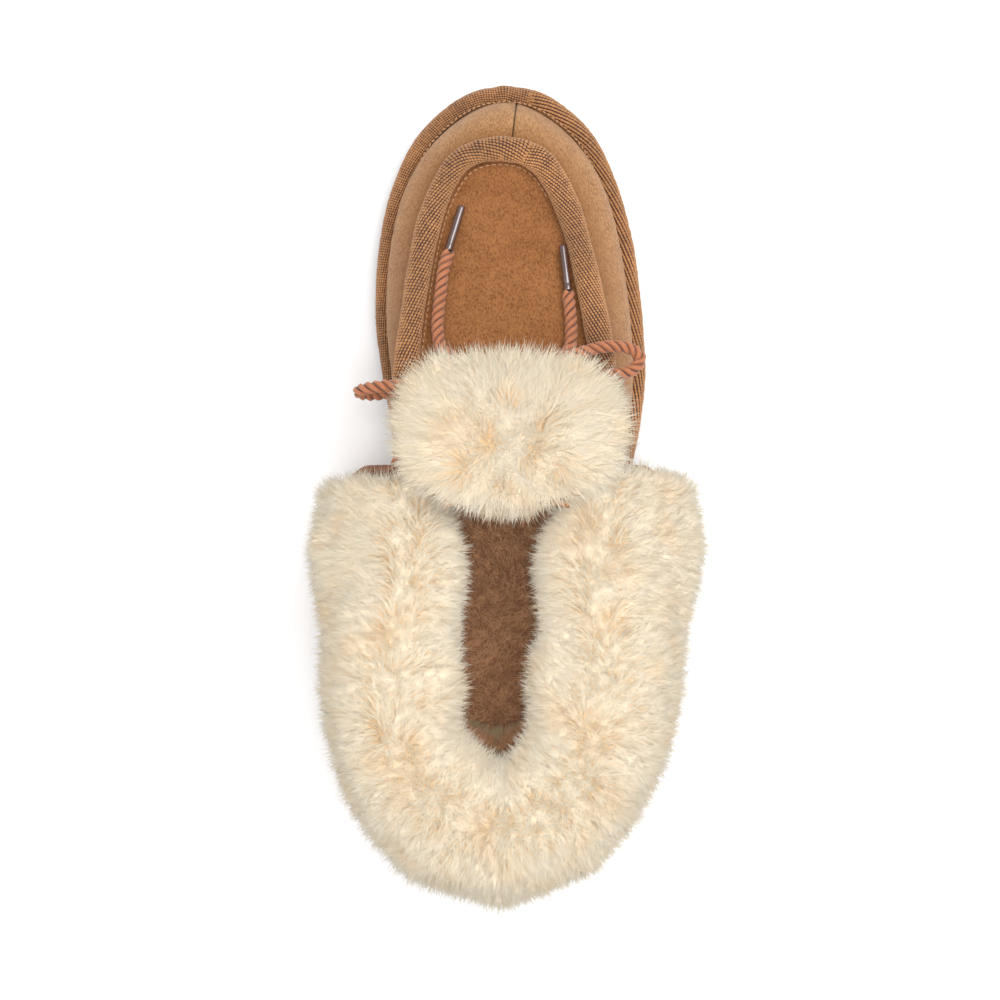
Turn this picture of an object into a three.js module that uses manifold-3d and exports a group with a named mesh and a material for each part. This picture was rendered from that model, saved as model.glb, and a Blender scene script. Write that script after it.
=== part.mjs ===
// A right-foot sheepskin moccasin with a folded fleece cuff, a fleece tongue flap and a rope lace.
// Millimetres. +Z is up, +Y points to the toe, +X to the outer (lateral) side of the foot, and the
// origin is on the ground under the middle of the sole.
import * as THREE from "three";
import { mergeVertices } from "three/addons/utils/BufferGeometryUtils.js";
import Module from "manifold-3d";

const wasm = await Module();
wasm.setup();

// ---- Driving dimensions ----
const GAP = 0.3; // clearance between pieces that touch on the real shoe
const HIDE = 2.2; // thickness of the suede

// Sole, seen from above
const SOLE_LENGTH = 268;
const HEEL_WIDTH = 74;
const WAIST_WIDTH = 79;
const BALL_WIDTH = 103.5;
const SHOULDER_WIDTH = 91; // across the toes
const TOE_WIDTH = 61; // across the front of the toe cap
const HEEL_X = -3; // the heel's middle lies a little inward, the ball's a little outward
const BALL_X = 1.8;
const TOE_SPRING = 5; // rise of the toe tip above the ground
const SPRING_START = 45; // from the middle of the sole forwards

// Sole layers, from the ground up
const OUTSOLE_THICK = 9;
const TREAD_DEPTH = 2.4;
const TREAD_PITCH = 13;
const TREAD_GROOVE = 4.5;
const TREAD_MARGIN = 7; // plain rim round the tread
const FOAM_THICK = 5;
const BOARD_THICK = 1.5;
const INSOLE_THICK = 5;

// Bindings
const SOLE_BINDING_WIDTH = 6.4;
const SOLE_BINDING_HEIGHT = 7.2;
const PLUG_BINDING_WIDTH = 8.6;
const PLUG_BINDING_HEIGHT = 6.4;
const PLUG_BINDING_LIFT = 2; // above the seam line, to clear the dome of the plug
const EDGE_BINDING = 4.6; // round tape on the front edges of the shaft

// Upper
const VAMP_LENGTH = 132; // toe tip to throat
const PLUG_SETBACK = 29; // toe tip to the front of the plug seam
const PLUG_FRONT_WIDTH = 30; // seam to seam, between the front corners
const PLUG_TOE_WIDTH = 47;
const PLUG_BALL_WIDTH = 59;
const PLUG_THROAT_WIDTH = 76;
const PLUG_X = -2; // middle of the plug's front end
const PLUG_DOME = 5;
const TOE_HEIGHT = 43; // seam height at the toe
const BALL_HEIGHT = 54;
const THROAT_HEIGHT = 63;
const ANKLE_HEIGHT = 54; // collar seam height at the side
const HEEL_HEIGHT = 57;
const RIM_INSET = 4.5; // collar seam inside the sole's edge
const COLLAR_X = -2.5; // the collar sits this much towards the other foot
const HEEL_INSET = 6;
const WALL_BULGE = 3.2;
const WALL_TUCK = 0.6; // its foot stands this far behind the sole binding
const LINING_PILE = 6.5;
const COUNTER_THICK = 1.3;
const STRAP_THICK = 1.4;

// Shaft and its folded cuff
const FOLD_FRONT_HEIGHT = 78;
const FOLD_HEEL_HEIGHT = 98;
const CUFF_DROP = 40; // height of the turned-down part
const CUFF_FLARE_FRONT = 18; // how far its lower edge stands out
const CUFF_FLARE_SIDE = 6;
const CUFF_FLARE_HEEL = 11;
const SIDE_LEAN = -3;
const HEEL_LEAN = 12;
const FRONT_SLANT = 9; // the front edges lean back by this much
const CUFF_PILE = 17;

// Tongue and its flap
const TONGUE_WIDTH = 46;
const TONGUE_PILE = 10;
const TONGUE_RISE = 41; // throat to fold
const TONGUE_LEAN = 26; // fold behind the throat
const FLAP_WIDTH = 54;
const FLAP_LENGTH = 38;
const FLAP_DROOP = 20; // degrees, front edge down
const FLAP_PILE = 18;
const FLAP_PILE_REACH = 19; // pile standing out past the flap's front edge
const FLAP_PILE_BACK = 11; // and behind the fold
const FLAP_PILE_SIDE = 18; // and past its sides

// Lace
const LACE = 5; // diameter of the rope
const LACE_HEIGHT = 8; // above the collar seam, round the shaft
const KEEPER_THICK = 1.2;
const KEEPER_WIDTH = 9;
const AGLET_LENGTH = 18;
const AGLET_DIAMETER = 2.8;

// How finely the curved pieces are cut
const REAR = 13; // stations from the heel to the throat, on each side
const FORE = 15; // stations from the throat to the toe
const TOE = REAR + FORE;
const WALL_STEPS = 7;

// ---- Levels and places that follow from them ----
const toeY = SOLE_LENGTH / 2;
const heelY = -SOLE_LENGTH / 2;
const throatY = toeY - VAMP_LENGTH;
const layerZ = OUTSOLE_THICK + GAP;
const boardZ = layerZ + FOAM_THICK + GAP;
const insoleZ = boardZ + BOARD_THICK + GAP;
const wallInset = SOLE_BINDING_WIDTH + GAP + WALL_TUCK;
const foldRadius = (LACE + EDGE_BINDING + HIDE) / 2 + 2 * GAP; // leaves the rope its way under the fold

// ---- Small helpers ----
const vec = (x, y, z = 0) => new THREE.Vector3(x, y, z);
const mix = (a, b, share) => a + (b - a) * share;
const range = (from, to) => Array.from({ length: to - from + 1 }, (_, k) => from + k);

function smooth(value) {
  const t = Math.min(1, Math.max(0, value));
  return t * t * (3 - 2 * t);
}

// Points at equal distances along part of a closed curve, from one knot to another.
function evenPoints(curve, fromKnot, toKnot, pieces) {
  const count = curve.points.length;
  const fine = range(0, 240).map((k) =>
    curve.getPoint(mix(fromKnot, toKnot, k / 240) / count),
  );
  const along = [0];
  fine.slice(1).forEach((p, k) => along.push(along[k] + p.distanceTo(fine[k])));
  return range(0, pieces).map((k) => {
    const target = (along[240] * k) / pieces;
    const next = Math.max(1, along.findIndex((a) => a >= target - 1e-9));
    const share = (target - along[next - 1]) / (along[next] - along[next - 1]);
    return fine[next - 1].clone().lerp(fine[next], share);
  });
}

// A loop's stations run from -TOE to TOE: 0 is the heel, positive the lateral side, and both ends are the toe.
function loopStations(curve, lateralThroat, toe, medialThroat) {
  const count = curve.points.length;
  const lateral = [
    ...evenPoints(curve, 0, lateralThroat, REAR),
    ...evenPoints(curve, lateralThroat, toe, FORE).slice(1),
  ];
  const medial = [
    ...evenPoints(curve, count, medialThroat, REAR),
    ...evenPoints(curve, medialThroat, toe, FORE).slice(1),
  ];
  return (i) => (i >= 0 ? lateral[i] : medial[-i]);
}

const wrap = (i) => (i > TOE ? i - 2 * TOE : i < -TOE ? i + 2 * TOE : i);

// The level unit vector that points away from the foot at a station of a loop.
function outwardAt(loop, i) {
  const ahead = loop(wrap(i + 1));
  const behind = loop(wrap(i - 1));
  return vec(ahead.y - behind.y, behind.x - ahead.x).normalize();
}

// A mesh geometry from points and triangles, facing outwards.
function solidFrom(points, triangles) {
  let volume = 0;
  for (const [a, b, c] of triangles) {
    volume += points[a].dot(points[b].clone().cross(points[c])) / 6;
  }
  const order = volume < 0 ? triangles.map(([a, b, c]) => [a, c, b]) : triangles;
  const geometry = new THREE.BufferGeometry().setFromPoints(points);
  geometry.setIndex(order.flat());
  return geometry;
}

// The closed solid between two sheets of points of the same size.
function between(top, bottom) {
  const columns = top[0].length;
  const points = [...top.flat(), ...bottom.flat()];
  const half = top.length * columns;
  const at = (i, j, side) => side * half + i * columns + j;
  const triangles = [];
  const quad = (a, b, c, d) => triangles.push([a, b, c], [a, c, d]);
  const lastRow = top.length - 1;
  const lastColumn = columns - 1;
  for (let i = 0; i < lastRow; i += 1) {
    for (let j = 0; j < lastColumn; j += 1) {
      quad(at(i, j, 0), at(i + 1, j, 0), at(i + 1, j + 1, 0), at(i, j + 1, 0));
      quad(at(i, j + 1, 1), at(i + 1, j + 1, 1), at(i + 1, j, 1), at(i, j, 1));
    }
    quad(at(i, 0, 0), at(i, 0, 1), at(i + 1, 0, 1), at(i + 1, 0, 0));
    quad(at(i + 1, lastColumn, 0), at(i + 1, lastColumn, 1), at(i, lastColumn, 1), at(i, lastColumn, 0));
  }
  for (let j = 0; j < lastColumn; j += 1) {
    quad(at(0, j + 1, 0), at(0, j + 1, 1), at(0, j, 1), at(0, j, 0));
    quad(at(lastRow, j, 0), at(lastRow, j, 1), at(lastRow, j + 1, 1), at(lastRow, j + 1, 0));
  }
  return solidFrom(points, triangles);
}

// A solid skinned over closed rings of points: a closed loop of rings, or capped at both ends.
function skinned(rings, isLoop = false) {
  const sides = rings[0].length;
  const points = rings.flat();
  const triangles = [];
  const spans = isLoop ? rings.length : rings.length - 1;
  for (let i = 0; i < spans; i += 1) {
    for (let j = 0; j < sides; j += 1) {
      const next = (i + 1) % rings.length;
      const [a, b] = [i * sides + j, i * sides + ((j + 1) % sides)];
      const [c, d] = [next * sides + ((j + 1) % sides), next * sides + j];
      triangles.push([a, b, c], [a, c, d]);
    }
  }
  if (!isLoop) {
    const last = (rings.length - 1) * sides;
    for (let j = 1; j < sides - 1; j += 1) {
      triangles.push([0, j + 1, j], [last, last + j, last + j + 1]);
    }
  }
  return solidFrom(points, triangles);
}

// Unit normals of a sheet of points, from its neighbours; a looped sheet's first and last rows are the same.
function sheetNormals(sheet, isLoop = false) {
  const last = sheet.length - 1;
  return sheet.map((row, i) =>
    row.map((_, j) => {
      const before = isLoop && i === 0 ? last - 1 : Math.max(0, i - 1);
      const after = isLoop && i === last ? 1 : Math.min(last, i + 1);
      const along = sheet[after][j].clone().sub(sheet[before][j]);
      const across = row[Math.min(row.length - 1, j + 1)]
        .clone()
        .sub(row[Math.max(0, j - 1)]);
      return along.cross(across).normalize();
    }),
  );
}

// Part of a sheet, moved along its normals by a distance that may change from place to place.
function offset(sheet, normals, distance) {
  const far = typeof distance === "number" ? () => distance : distance;
  return sheet.map((row, i) =>
    row.map((p, j) => p.clone().addScaledVector(normals[i][j], far(i, j))),
  );
}

// Cuts rows from..to out of a looped sheet and draws its two ends in by half a gap, for the seams.
function cutRows(sheet, normals, from, to) {
  const rows = range(from, to).map((i) => sheet[i].map((p) => p.clone()));
  rows[0].forEach((p, j) => p.lerp(rows[1][j], GAP / 2 / p.distanceTo(rows[1][j])));
  const [end, before] = [rows[rows.length - 1], rows[rows.length - 2]];
  end.forEach((p, j) => p.lerp(before[j], GAP / 2 / p.distanceTo(before[j])));
  return [rows, range(from, to).map((i) => normals[i])];
}

const columnsOf = (sheet, from, to) => sheet.map((row) => row.slice(from, to + 1));

// Lifts the toe: the ground line rises towards the tip.
function spring(geometry) {
  const place = geometry.getAttribute("position");
  for (let k = 0; k < place.count; k += 1) {
    const share = Math.max(0, place.getY(k) - SPRING_START) / (toeY - SPRING_START);
    place.setZ(k, place.getZ(k) + TOE_SPRING * share * share);
  }
  return geometry;
}

function manifoldOf(geometry) {
  const bare = geometry.clone();
  bare.deleteAttribute("normal");
  bare.deleteAttribute("uv");
  const merged = mergeVertices(bare, 1e-4);
  const mesh = new wasm.Mesh({
    numProp: 3,
    vertProperties: merged.attributes.position.array,
    triVerts: new Uint32Array(merged.index.array),
  });
  return new wasm.Manifold(mesh);
}

function geometryOf(manifold) {
  const mesh = manifold.getMesh();
  const geometry = new THREE.BufferGeometry();
  geometry.setAttribute("position", new THREE.BufferAttribute(mesh.vertProperties, 3));
  geometry.setIndex(new THREE.BufferAttribute(mesh.triVerts, 1));
  return geometry;
}

// ---- The two lines that the upper is built between ----
// Edge of the sole, anticlockwise from the back of the heel.
function soleEdge() {
  const heel = HEEL_WIDTH / 2;
  const waist = WAIST_WIDTH / 2;
  const ball = BALL_WIDTH / 2;
  const knots = [
    [HEEL_X, heelY],
    [HEEL_X + 0.7 * heel, heelY + 10],
    [HEEL_X + heel, heelY + 36],
    [BALL_X + waist, heelY + 88],
    [BALL_X + ball - 2, throatY],
    [BALL_X + ball, toeY - 104],
    [SHOULDER_WIDTH / 2, toeY - 47],
    [TOE_WIDTH / 2, toeY - 16],
    [0, toeY],
    [-TOE_WIDTH / 2, toeY - 16],
    [-SHOULDER_WIDTH / 2, toeY - 47],
    [BALL_X - ball, toeY - 86],
    [BALL_X - ball + 6, throatY],
    [BALL_X - waist, heelY + 88],
    [HEEL_X - heel, heelY + 36],
    [HEEL_X - 0.7 * heel, heelY + 10],
  ];
  const curve = new THREE.CatmullRomCurve3(
    knots.map(([x, y]) => vec(x, y)),
    true,
    "centripetal",
  );
  return loopStations(curve, 4, 8, 12);
}

// Top edge of the side walls: the plug seam round the toe, and the collar seam round the heel.
function wallTop(edge) {
  const plug = (width, side, fromToe, z) => {
    const forward = 1 - smooth((fromToe - PLUG_SETBACK) / (VAMP_LENGTH - PLUG_SETBACK));
    return vec(forward * PLUG_X + (side * width) / 2, toeY - fromToe, z);
  };
  const ankle = (station, z) => {
    const p = edge(station).clone().addScaledVector(outwardAt(edge, station), -RIM_INSET);
    return p.add(vec(COLLAR_X, 0, z));
  };
  const third = Math.round(REAR / 3);
  const rear = (side) => [
    ankle(side * third, mix(HEEL_HEIGHT, ANKLE_HEIGHT, 0.7)),
    ankle(side * 2 * third, ANKLE_HEIGHT),
  ];
  const fore = (side) => [
    plug(PLUG_THROAT_WIDTH, side, VAMP_LENGTH, THROAT_HEIGHT),
    plug(PLUG_BALL_WIDTH, side, PLUG_SETBACK + 40, mix(BALL_HEIGHT, TOE_HEIGHT, 0.3)),
    plug(PLUG_TOE_WIDTH, side, PLUG_SETBACK + 18.5, mix(BALL_HEIGHT, TOE_HEIGHT, 0.85)),
    plug(PLUG_FRONT_WIDTH, side, PLUG_SETBACK + 4.3, TOE_HEIGHT + 0.4),
  ];
  const knots = [
    vec(HEEL_X, heelY + HEEL_INSET, HEEL_HEIGHT),
    ...rear(1),
    ...fore(1),
    plug(0, 1, PLUG_SETBACK, TOE_HEIGHT),
    ...fore(-1).reverse(),
    ...rear(-1).reverse(),
  ];
  return loopStations(new THREE.CatmullRomCurve3(knots, true, "centripetal"), 3, 7, 11);
}

const edge = soleEdge();
const rim = wallTop(edge);

// Outer face of the side walls, one row for each station, from the sole up to the rim.
function wallSheet() {
  return range(-TOE, TOE).map((i) => {
    const out = outwardAt(edge, i);
    const foot = edge(i).clone().addScaledVector(out, -wallInset).setZ(layerZ);
    const top = rim(i);
    const rise = top.z - foot.z;
    const inward = vec(top.x - foot.x, top.y - foot.y);
    const fore = Math.abs(i) <= REAR ? 0 : 0.3 + 0.7 * smooth((Math.abs(i) - REAR) / FORE);
    const low = foot.clone().add(vec(0, 0, 0.55 * rise)).addScaledVector(out, WALL_BULGE);
    const high = top.clone().addScaledVector(inward, -0.6 * fore);
    high.z -= (1 - fore) * 0.35 * rise;
    const curve = new THREE.CubicBezierCurve3(foot, low, high, top);
    return range(0, WALL_STEPS).map((j) => curve.getPoint(j / WALL_STEPS));
  });
}

const wall = wallSheet();
const wallNormals = sheetNormals(wall, true);
const row = (i) => i + TOE; // row of the wall sheet at station i

// ---- Sole ----
// A flat slab with the sole's outline drawn in by a given distance, its faces cut across from side to side.
function slab(inset, bottom, thick) {
  const count = 2 * TOE;
  const at = (i, level) => level * count + ((i + TOE) % count);
  const outline = range(-TOE, TOE - 1).map((i) =>
    edge(i).clone().addScaledVector(outwardAt(edge, i), -inset),
  );
  const points = [bottom, bottom + thick].flatMap((z) => outline.map((p) => p.clone().setZ(z)));
  const triangles = [];
  const quad = (a, b, c, d) => triangles.push([a, b, c], [a, c, d]);
  for (const i of range(0, TOE - 1)) {
    quad(at(i, 1), at(i + 1, 1), at(-i - 1, 1), at(-i, 1));
    quad(at(-i, 0), at(-i - 1, 0), at(i + 1, 0), at(i, 0));
  }
  for (const i of range(-TOE, TOE - 1)) {
    quad(at(i, 0), at(i + 1, 0), at(i + 1, 1), at(i, 1));
  }
  return solidFrom(points, triangles.filter(([a, b, c]) => a !== b && b !== c && c !== a));
}

// Rubber outsole: a slab with cross grooves cut into the ground face, a land left under the origin.
function outsole() {
  let body = manifoldOf(spring(slab(0.4, 0, OUTSOLE_THICK)));
  const field = manifoldOf(spring(slab(TREAD_MARGIN, -1, TREAD_DEPTH + 1)));
  for (let y = TREAD_PITCH / 2; y < toeY; y += TREAD_PITCH) {
    for (const side of [-1, 1]) {
      const groove = new THREE.BoxGeometry(BALL_WIDTH, TREAD_GROOVE, 8 * TREAD_DEPTH);
      groove.translate(0, side * y, 0);
      body = body.subtract(manifoldOf(groove).intersect(field));
    }
  }
  return geometryOf(body);
}

const foamMidsole = () => spring(slab(wallInset + HIDE + GAP, layerZ, FOAM_THICK));
const insoleBoard = () => spring(slab(wallInset + HIDE + GAP, boardZ, BOARD_THICK));
const insoleFleece = () =>
  spring(slab(wallInset + HIDE + LINING_PILE + COUNTER_THICK + 6 * GAP, insoleZ, INSOLE_THICK));

// Tape-wrapped bead round the edge of the sole.
function soleBinding() {
  const sides = 8;
  const middle = OUTSOLE_THICK + GAP + SOLE_BINDING_HEIGHT / 2;
  const rings = range(-TOE, TOE - 1).map((i) => {
    const out = outwardAt(edge, i);
    return range(0, sides - 1).map((k) => {
      const turn = ((k + 0.5) / sides) * 2 * Math.PI;
      const across = (Math.cos(turn) * SOLE_BINDING_WIDTH) / 2 - SOLE_BINDING_WIDTH / 2;
      const p = edge(i).clone().addScaledVector(out, across);
      return p.setZ(middle + (Math.sin(turn) * SOLE_BINDING_HEIGHT) / 2);
    });
  });
  return spring(skinned(rings, true));
}

// ---- Side walls, their lining, the heel counter and the back strap ----
function wallHalf(from, to) {
  const [sheet, normals] = cutRows(wall, wallNormals, row(from), row(to));
  return spring(between(sheet, offset(sheet, normals, -HIDE)));
}

const liningBack = HIDE + COUNTER_THICK + 3 * GAP + LINING_PILE; // depth of its pile's tips

// How deep the lining starts: behind the counter at the heel, straight on the suede elsewhere.
function liningDepth(station) {
  const behind = 1 - smooth((Math.abs(station) - 6) / 2);
  return HIDE + GAP + behind * (COUNTER_THICK + GAP);
}

// The point at a share of the way along a row of points.
function alongRow(points, share) {
  const place = share * (points.length - 1);
  const k = Math.min(points.length - 2, Math.floor(place));
  return points[k].clone().lerp(points[k + 1], place - k);
}

// The lining stands over the insole board and stops short of the seam above it.
function liningHalf(from, to) {
  const [sheet, normals] = cutRows(wall, wallNormals, row(from), row(to));
  const resample = (rows) =>
    rows.map((points, i) => {
      const rise = sheet[i][WALL_STEPS].z - sheet[i][0].z;
      const start = (insoleZ + 1 - sheet[i][0].z) / rise;
      const fore = smooth((Math.abs(from + i) - REAR + 1) / 4);
      const stop = mix(0.94, 0.62, fore);
      return range(0, 3).map((j) => alongRow(points, mix(start, stop, j / 3)));
    });
  const face = resample(sheet);
  const facing = resample(normals);
  const near = offset(face, facing, (i) => -liningDepth(from + i) - GAP);
  return spring(between(near, offset(face, facing, -liningBack)));
}

function heelCounter() {
  const rows = range(row(-5), row(5));
  const sheet = columnsOf(rows.map((i) => wall[i]), 2, WALL_STEPS - 1);
  const normals = columnsOf(rows.map((i) => wallNormals[i]), 2, WALL_STEPS - 1);
  const start = HIDE + 1.6 * GAP;
  return between(offset(sheet, normals, -start), offset(sheet, normals, -start - COUNTER_THICK));
}

function backStrap() {
  const rows = range(row(-1), row(1));
  const sheet = columnsOf(rows.map((i) => wall[i]), 2, WALL_STEPS - 1);
  const normals = columnsOf(rows.map((i) => wallNormals[i]), 2, WALL_STEPS - 1);
  return between(offset(sheet, normals, GAP), offset(sheet, normals, GAP + STRAP_THICK));
}

// ---- Plug over the toes ----
const PLUG_COLUMNS = 8;
const PLUG_ROWS = FORE - 1;
const PLUG_MARGIN = HIDE + 2 * GAP; // plug edge inside the seam line

function plugSheet() {
  return range(0, PLUG_ROWS).map((k) => {
    const lateral = rim(REAR + k);
    const medial = rim(-REAR - k);
    const width = lateral.distanceTo(medial);
    const dome = PLUG_DOME * smooth((width - 16) / (PLUG_BALL_WIDTH - 16));
    return range(0, PLUG_COLUMNS).map((j) => {
      const across = mix(PLUG_MARGIN / width, 1 - PLUG_MARGIN / width, j / PLUG_COLUMNS);
      const p = lateral.clone().lerp(medial, across);
      p.z += dome * (1 - (2 * across - 1) ** 2) ** 1.4;
      return p;
    });
  });
}

const plugFace = plugSheet();
const plugNormals = sheetNormals(plugFace);

const plug = () => spring(between(plugFace, offset(plugFace, plugNormals, -HIDE)));

function plugLining() {
  const rows = range(0, PLUG_ROWS - 5);
  const sheet = columnsOf(rows.map((i) => plugFace[i]), 1, PLUG_COLUMNS - 1);
  const normals = columnsOf(rows.map((i) => plugNormals[i]), 1, PLUG_COLUMNS - 1);
  const start = HIDE + GAP;
  return spring(between(offset(sheet, normals, -start), offset(sheet, normals, -start - LINING_PILE)));
}

// Raised tape-bound ridge over the plug seam, a D standing on its flat side.
function plugBinding() {
  const order = [...range(REAR, TOE), ...range(-TOE + 1, -REAR)];
  const rings = order.map((i) => {
    const out = outwardAt(rim, i);
    const foot = rim(i).clone();
    foot.z += PLUG_BINDING_LIFT;
    const side = PLUG_BINDING_WIDTH / 2;
    const section = range(0, 6).map((k) => {
      const turn = (k / 6) * Math.PI;
      return [side * Math.cos(turn), 1.4 + (PLUG_BINDING_HEIGHT - 1.4) * Math.sin(turn)];
    });
    section.push([-side, 0], [side, 0]);
    return section.map(([across, up]) =>
      foot.clone().addScaledVector(out, across).add(vec(0, 0, up)),
    );
  });
  return spring(skinned(rings));
}

// ---- Shaft: one folded sheepskin on each side ----
const SHAFT_FRONT = REAR - 1; // its front edge is one station behind the throat
const LEG_STEPS = 4;
const ARC_STEPS = 5;
const DROP_STEPS = 5;
const PROFILE_STEPS = LEG_STEPS + ARC_STEPS + DROP_STEPS;

// Fleece face of the shaft: up the inside, over the fold and down the outside.
function shaftRow(i) {
  const base = rim(i);
  const out = outwardAt(rim, i);
  const fromHeel = Math.abs(i);
  const lean = mix(HEEL_LEAN, SIDE_LEAN, smooth(fromHeel / 6.5));
  const sideFlare = mix(CUFF_FLARE_SIDE, CUFF_FLARE_FRONT, smooth((fromHeel - 3) / 7));
  const flare = mix(CUFF_FLARE_HEEL, sideFlare, smooth(fromHeel / 3));
  const back = (throatY - base.y) / (throatY - heelY - HEEL_INSET);
  const top = mix(FOLD_FRONT_HEIGHT, FOLD_HEEL_HEIGHT, smooth(back));
  const slant = FRONT_SLANT * smooth(2 * (fromHeel / SHAFT_FRONT - 0.5));
  const centre = top - foldRadius;
  const tilt = (Math.max(0, lean) * HIDE) / (centre - base.z);
  const place = (away, z, share) => {
    const p = base.clone().addScaledVector(out, away - HIDE).setZ(z);
    p.y -= slant * share;
    return p;
  };
  const inner = range(0, LEG_STEPS).map((k) => {
    const share = k / LEG_STEPS;
    return place(lean * share, mix(base.z + GAP + tilt, centre, share), share);
  });
  const arc = range(1, ARC_STEPS).map((k) => {
    const turn = Math.PI * (1 - k / ARC_STEPS);
    const away = lean + foldRadius * (1 + Math.cos(turn));
    return place(away, centre + foldRadius * Math.sin(turn), 1);
  });
  const outer = range(1, DROP_STEPS).map((k) => {
    const share = k / DROP_STEPS;
    const away = lean + 2 * foldRadius + flare * Math.sin((share * Math.PI) / 2);
    return place(away, centre - (CUFF_DROP - foldRadius) * share, 1);
  });
  return [...inner, ...arc, ...outer];
}

const shaft = range(-SHAFT_FRONT, SHAFT_FRONT).map(shaftRow);
const shaftNormals = sheetNormals(shaft).map((r) => r.map((n) => n.negate()));
const shaftRowAt = (i) => i + SHAFT_FRONT;

function shaftHide(from, to) {
  const [sheet, normals] = cutRows(shaft, shaftNormals, shaftRowAt(from), shaftRowAt(to));
  return between(sheet, offset(sheet, normals, -HIDE));
}

// Length of the fleece at a station and a step of the profile.
function pileLength(station, step) {
  const fromFront = SHAFT_FRONT - Math.abs(station);
  const onLeg = 1 - smooth((step - LEG_STEPS + 1) / 3);
  const room = mix(mix(0.62, 1, smooth(fromFront / 2)), mix(0.3, 1, smooth(fromFront / 4)), onLeg);
  const root = mix(0.45, 1, smooth(step / 3));
  const hem = mix(0.7, 1, smooth((PROFILE_STEPS - step) / 2));
  return CUFF_PILE * room * root * hem;
}

function cuffFleece(from, to) {
  const [sheet, normals] = cutRows(shaft, shaftNormals, shaftRowAt(from), shaftRowAt(to));
  const face = columnsOf(sheet, 1, PROFILE_STEPS);
  const facing = columnsOf(normals, 1, PROFILE_STEPS);
  const tips = offset(face, facing, (i, j) => GAP + pileLength(from + i, j + 1));
  return between(tips, offset(face, facing, 1.6 * GAP));
}

// A straight-sided tube of round section through points, with a ring at each point.
function tube(points, diameter, sides, steps) {
  const curve = new THREE.CatmullRomCurve3(points, false, "centripetal");
  const section = new THREE.Shape(
    range(0, sides - 1).map((k) => {
      const turn = (k / sides) * 2 * Math.PI;
      return new THREE.Vector2((Math.cos(turn) * diameter) / 2, (Math.sin(turn) * diameter) / 2);
    }),
  );
  return new THREE.ExtrudeGeometry(section, { steps, extrudePath: curve, bevelEnabled: false });
}

// Tape on the front edge of the shaft, from above the plug binding over the fold to the cuff's lower edge.
function edgeBinding(side) {
  const edgeRow = shaft[shaftRowAt(side * SHAFT_FRONT)];
  const facing = shaftNormals[shaftRowAt(side * SHAFT_FRONT)];
  const ahead = EDGE_BINDING / 2 + 3 * GAP;
  const points = edgeRow
    .map((p, j) => p.clone().addScaledVector(facing[j], -HIDE / 2).add(vec(0, ahead, 0)))
    .slice(2);
  return tube(points, EDGE_BINDING, 8, 18);
}

// ---- Tongue, standing behind the throat ----
const foldY = throatY - TONGUE_LEAN;
const foldZ = THROAT_HEIGHT + TONGUE_RISE;
const TONGUE_ROWS = 7;
const TONGUE_COLUMNS = 8;

function tongueSheet() {
  const start = [throatY - 2 * GAP, THROAT_HEIGHT + PLUG_DOME];
  const curve = new THREE.CubicBezierCurve(
    new THREE.Vector2(...start),
    new THREE.Vector2(start[0] - 5, start[1] + 3),
    new THREE.Vector2(foldY, foldZ - 18),
    new THREE.Vector2(foldY, foldZ - HIDE - GAP),
  );
  return range(0, TONGUE_ROWS).map((k) => {
    const p = curve.getPoint(k / TONGUE_ROWS);
    const upright = smooth(k / TONGUE_ROWS);
    return range(0, TONGUE_COLUMNS).map((j) => {
      const across = 1 - (2 * j) / TONGUE_COLUMNS;
      const droop = (1 - upright) * 3.5 * across * across;
      const wrapBack = upright * 3 * across * across;
      return vec((across * TONGUE_WIDTH) / 2, p.x - wrapBack, p.y - droop);
    });
  });
}

const tongueFace = tongueSheet();
const tongueNormals = sheetNormals(tongueFace).map((r) => r.map((n) => n.negate()));
const tongueSide = (sign) => (tongueNormals[3][4].y < 0 ? sign : -sign);

const tongueHide = () =>
  between(tongueFace, offset(tongueFace, tongueNormals, tongueSide(HIDE)));

function tongueFleece() {
  const rows = range(1, TONGUE_ROWS - 1);
  const sheet = columnsOf(rows.map((i) => tongueFace[i]), 1, TONGUE_COLUMNS - 1);
  const normals = columnsOf(rows.map((i) => tongueNormals[i]), 1, TONGUE_COLUMNS - 1);
  const start = HIDE + GAP;
  const far = (i, j) => {
    const across = (2 * j) / (TONGUE_COLUMNS - 2) - 1;
    return tongueSide(start + TONGUE_PILE * (1 - 0.65 * across * across) * mix(0.6, 1, i / 6));
  };
  return between(offset(sheet, normals, tongueSide(start)), offset(sheet, normals, far));
}

// Flap of the tongue, folded forwards over the bow. Drawn from the fold, y forwards and z off the hide.
function flapHide() {
  const columns = 8;
  const sheet = range(0, 5).map((k) =>
    range(0, columns).map((j) => {
      const across = 1 - (2 * j) / columns;
      const corner = 1 - 0.12 * (k / 5) * across * across;
      return vec((across * FLAP_WIDTH) / 2, 0.5 + ((FLAP_LENGTH * k) / 5) * corner, -1.5 * across * across);
    }),
  );
  const lower = sheet.map((r) => r.map((p) => p.clone().add(vec(0, 0, -HIDE))));
  return between(sheet, lower);
}

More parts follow.
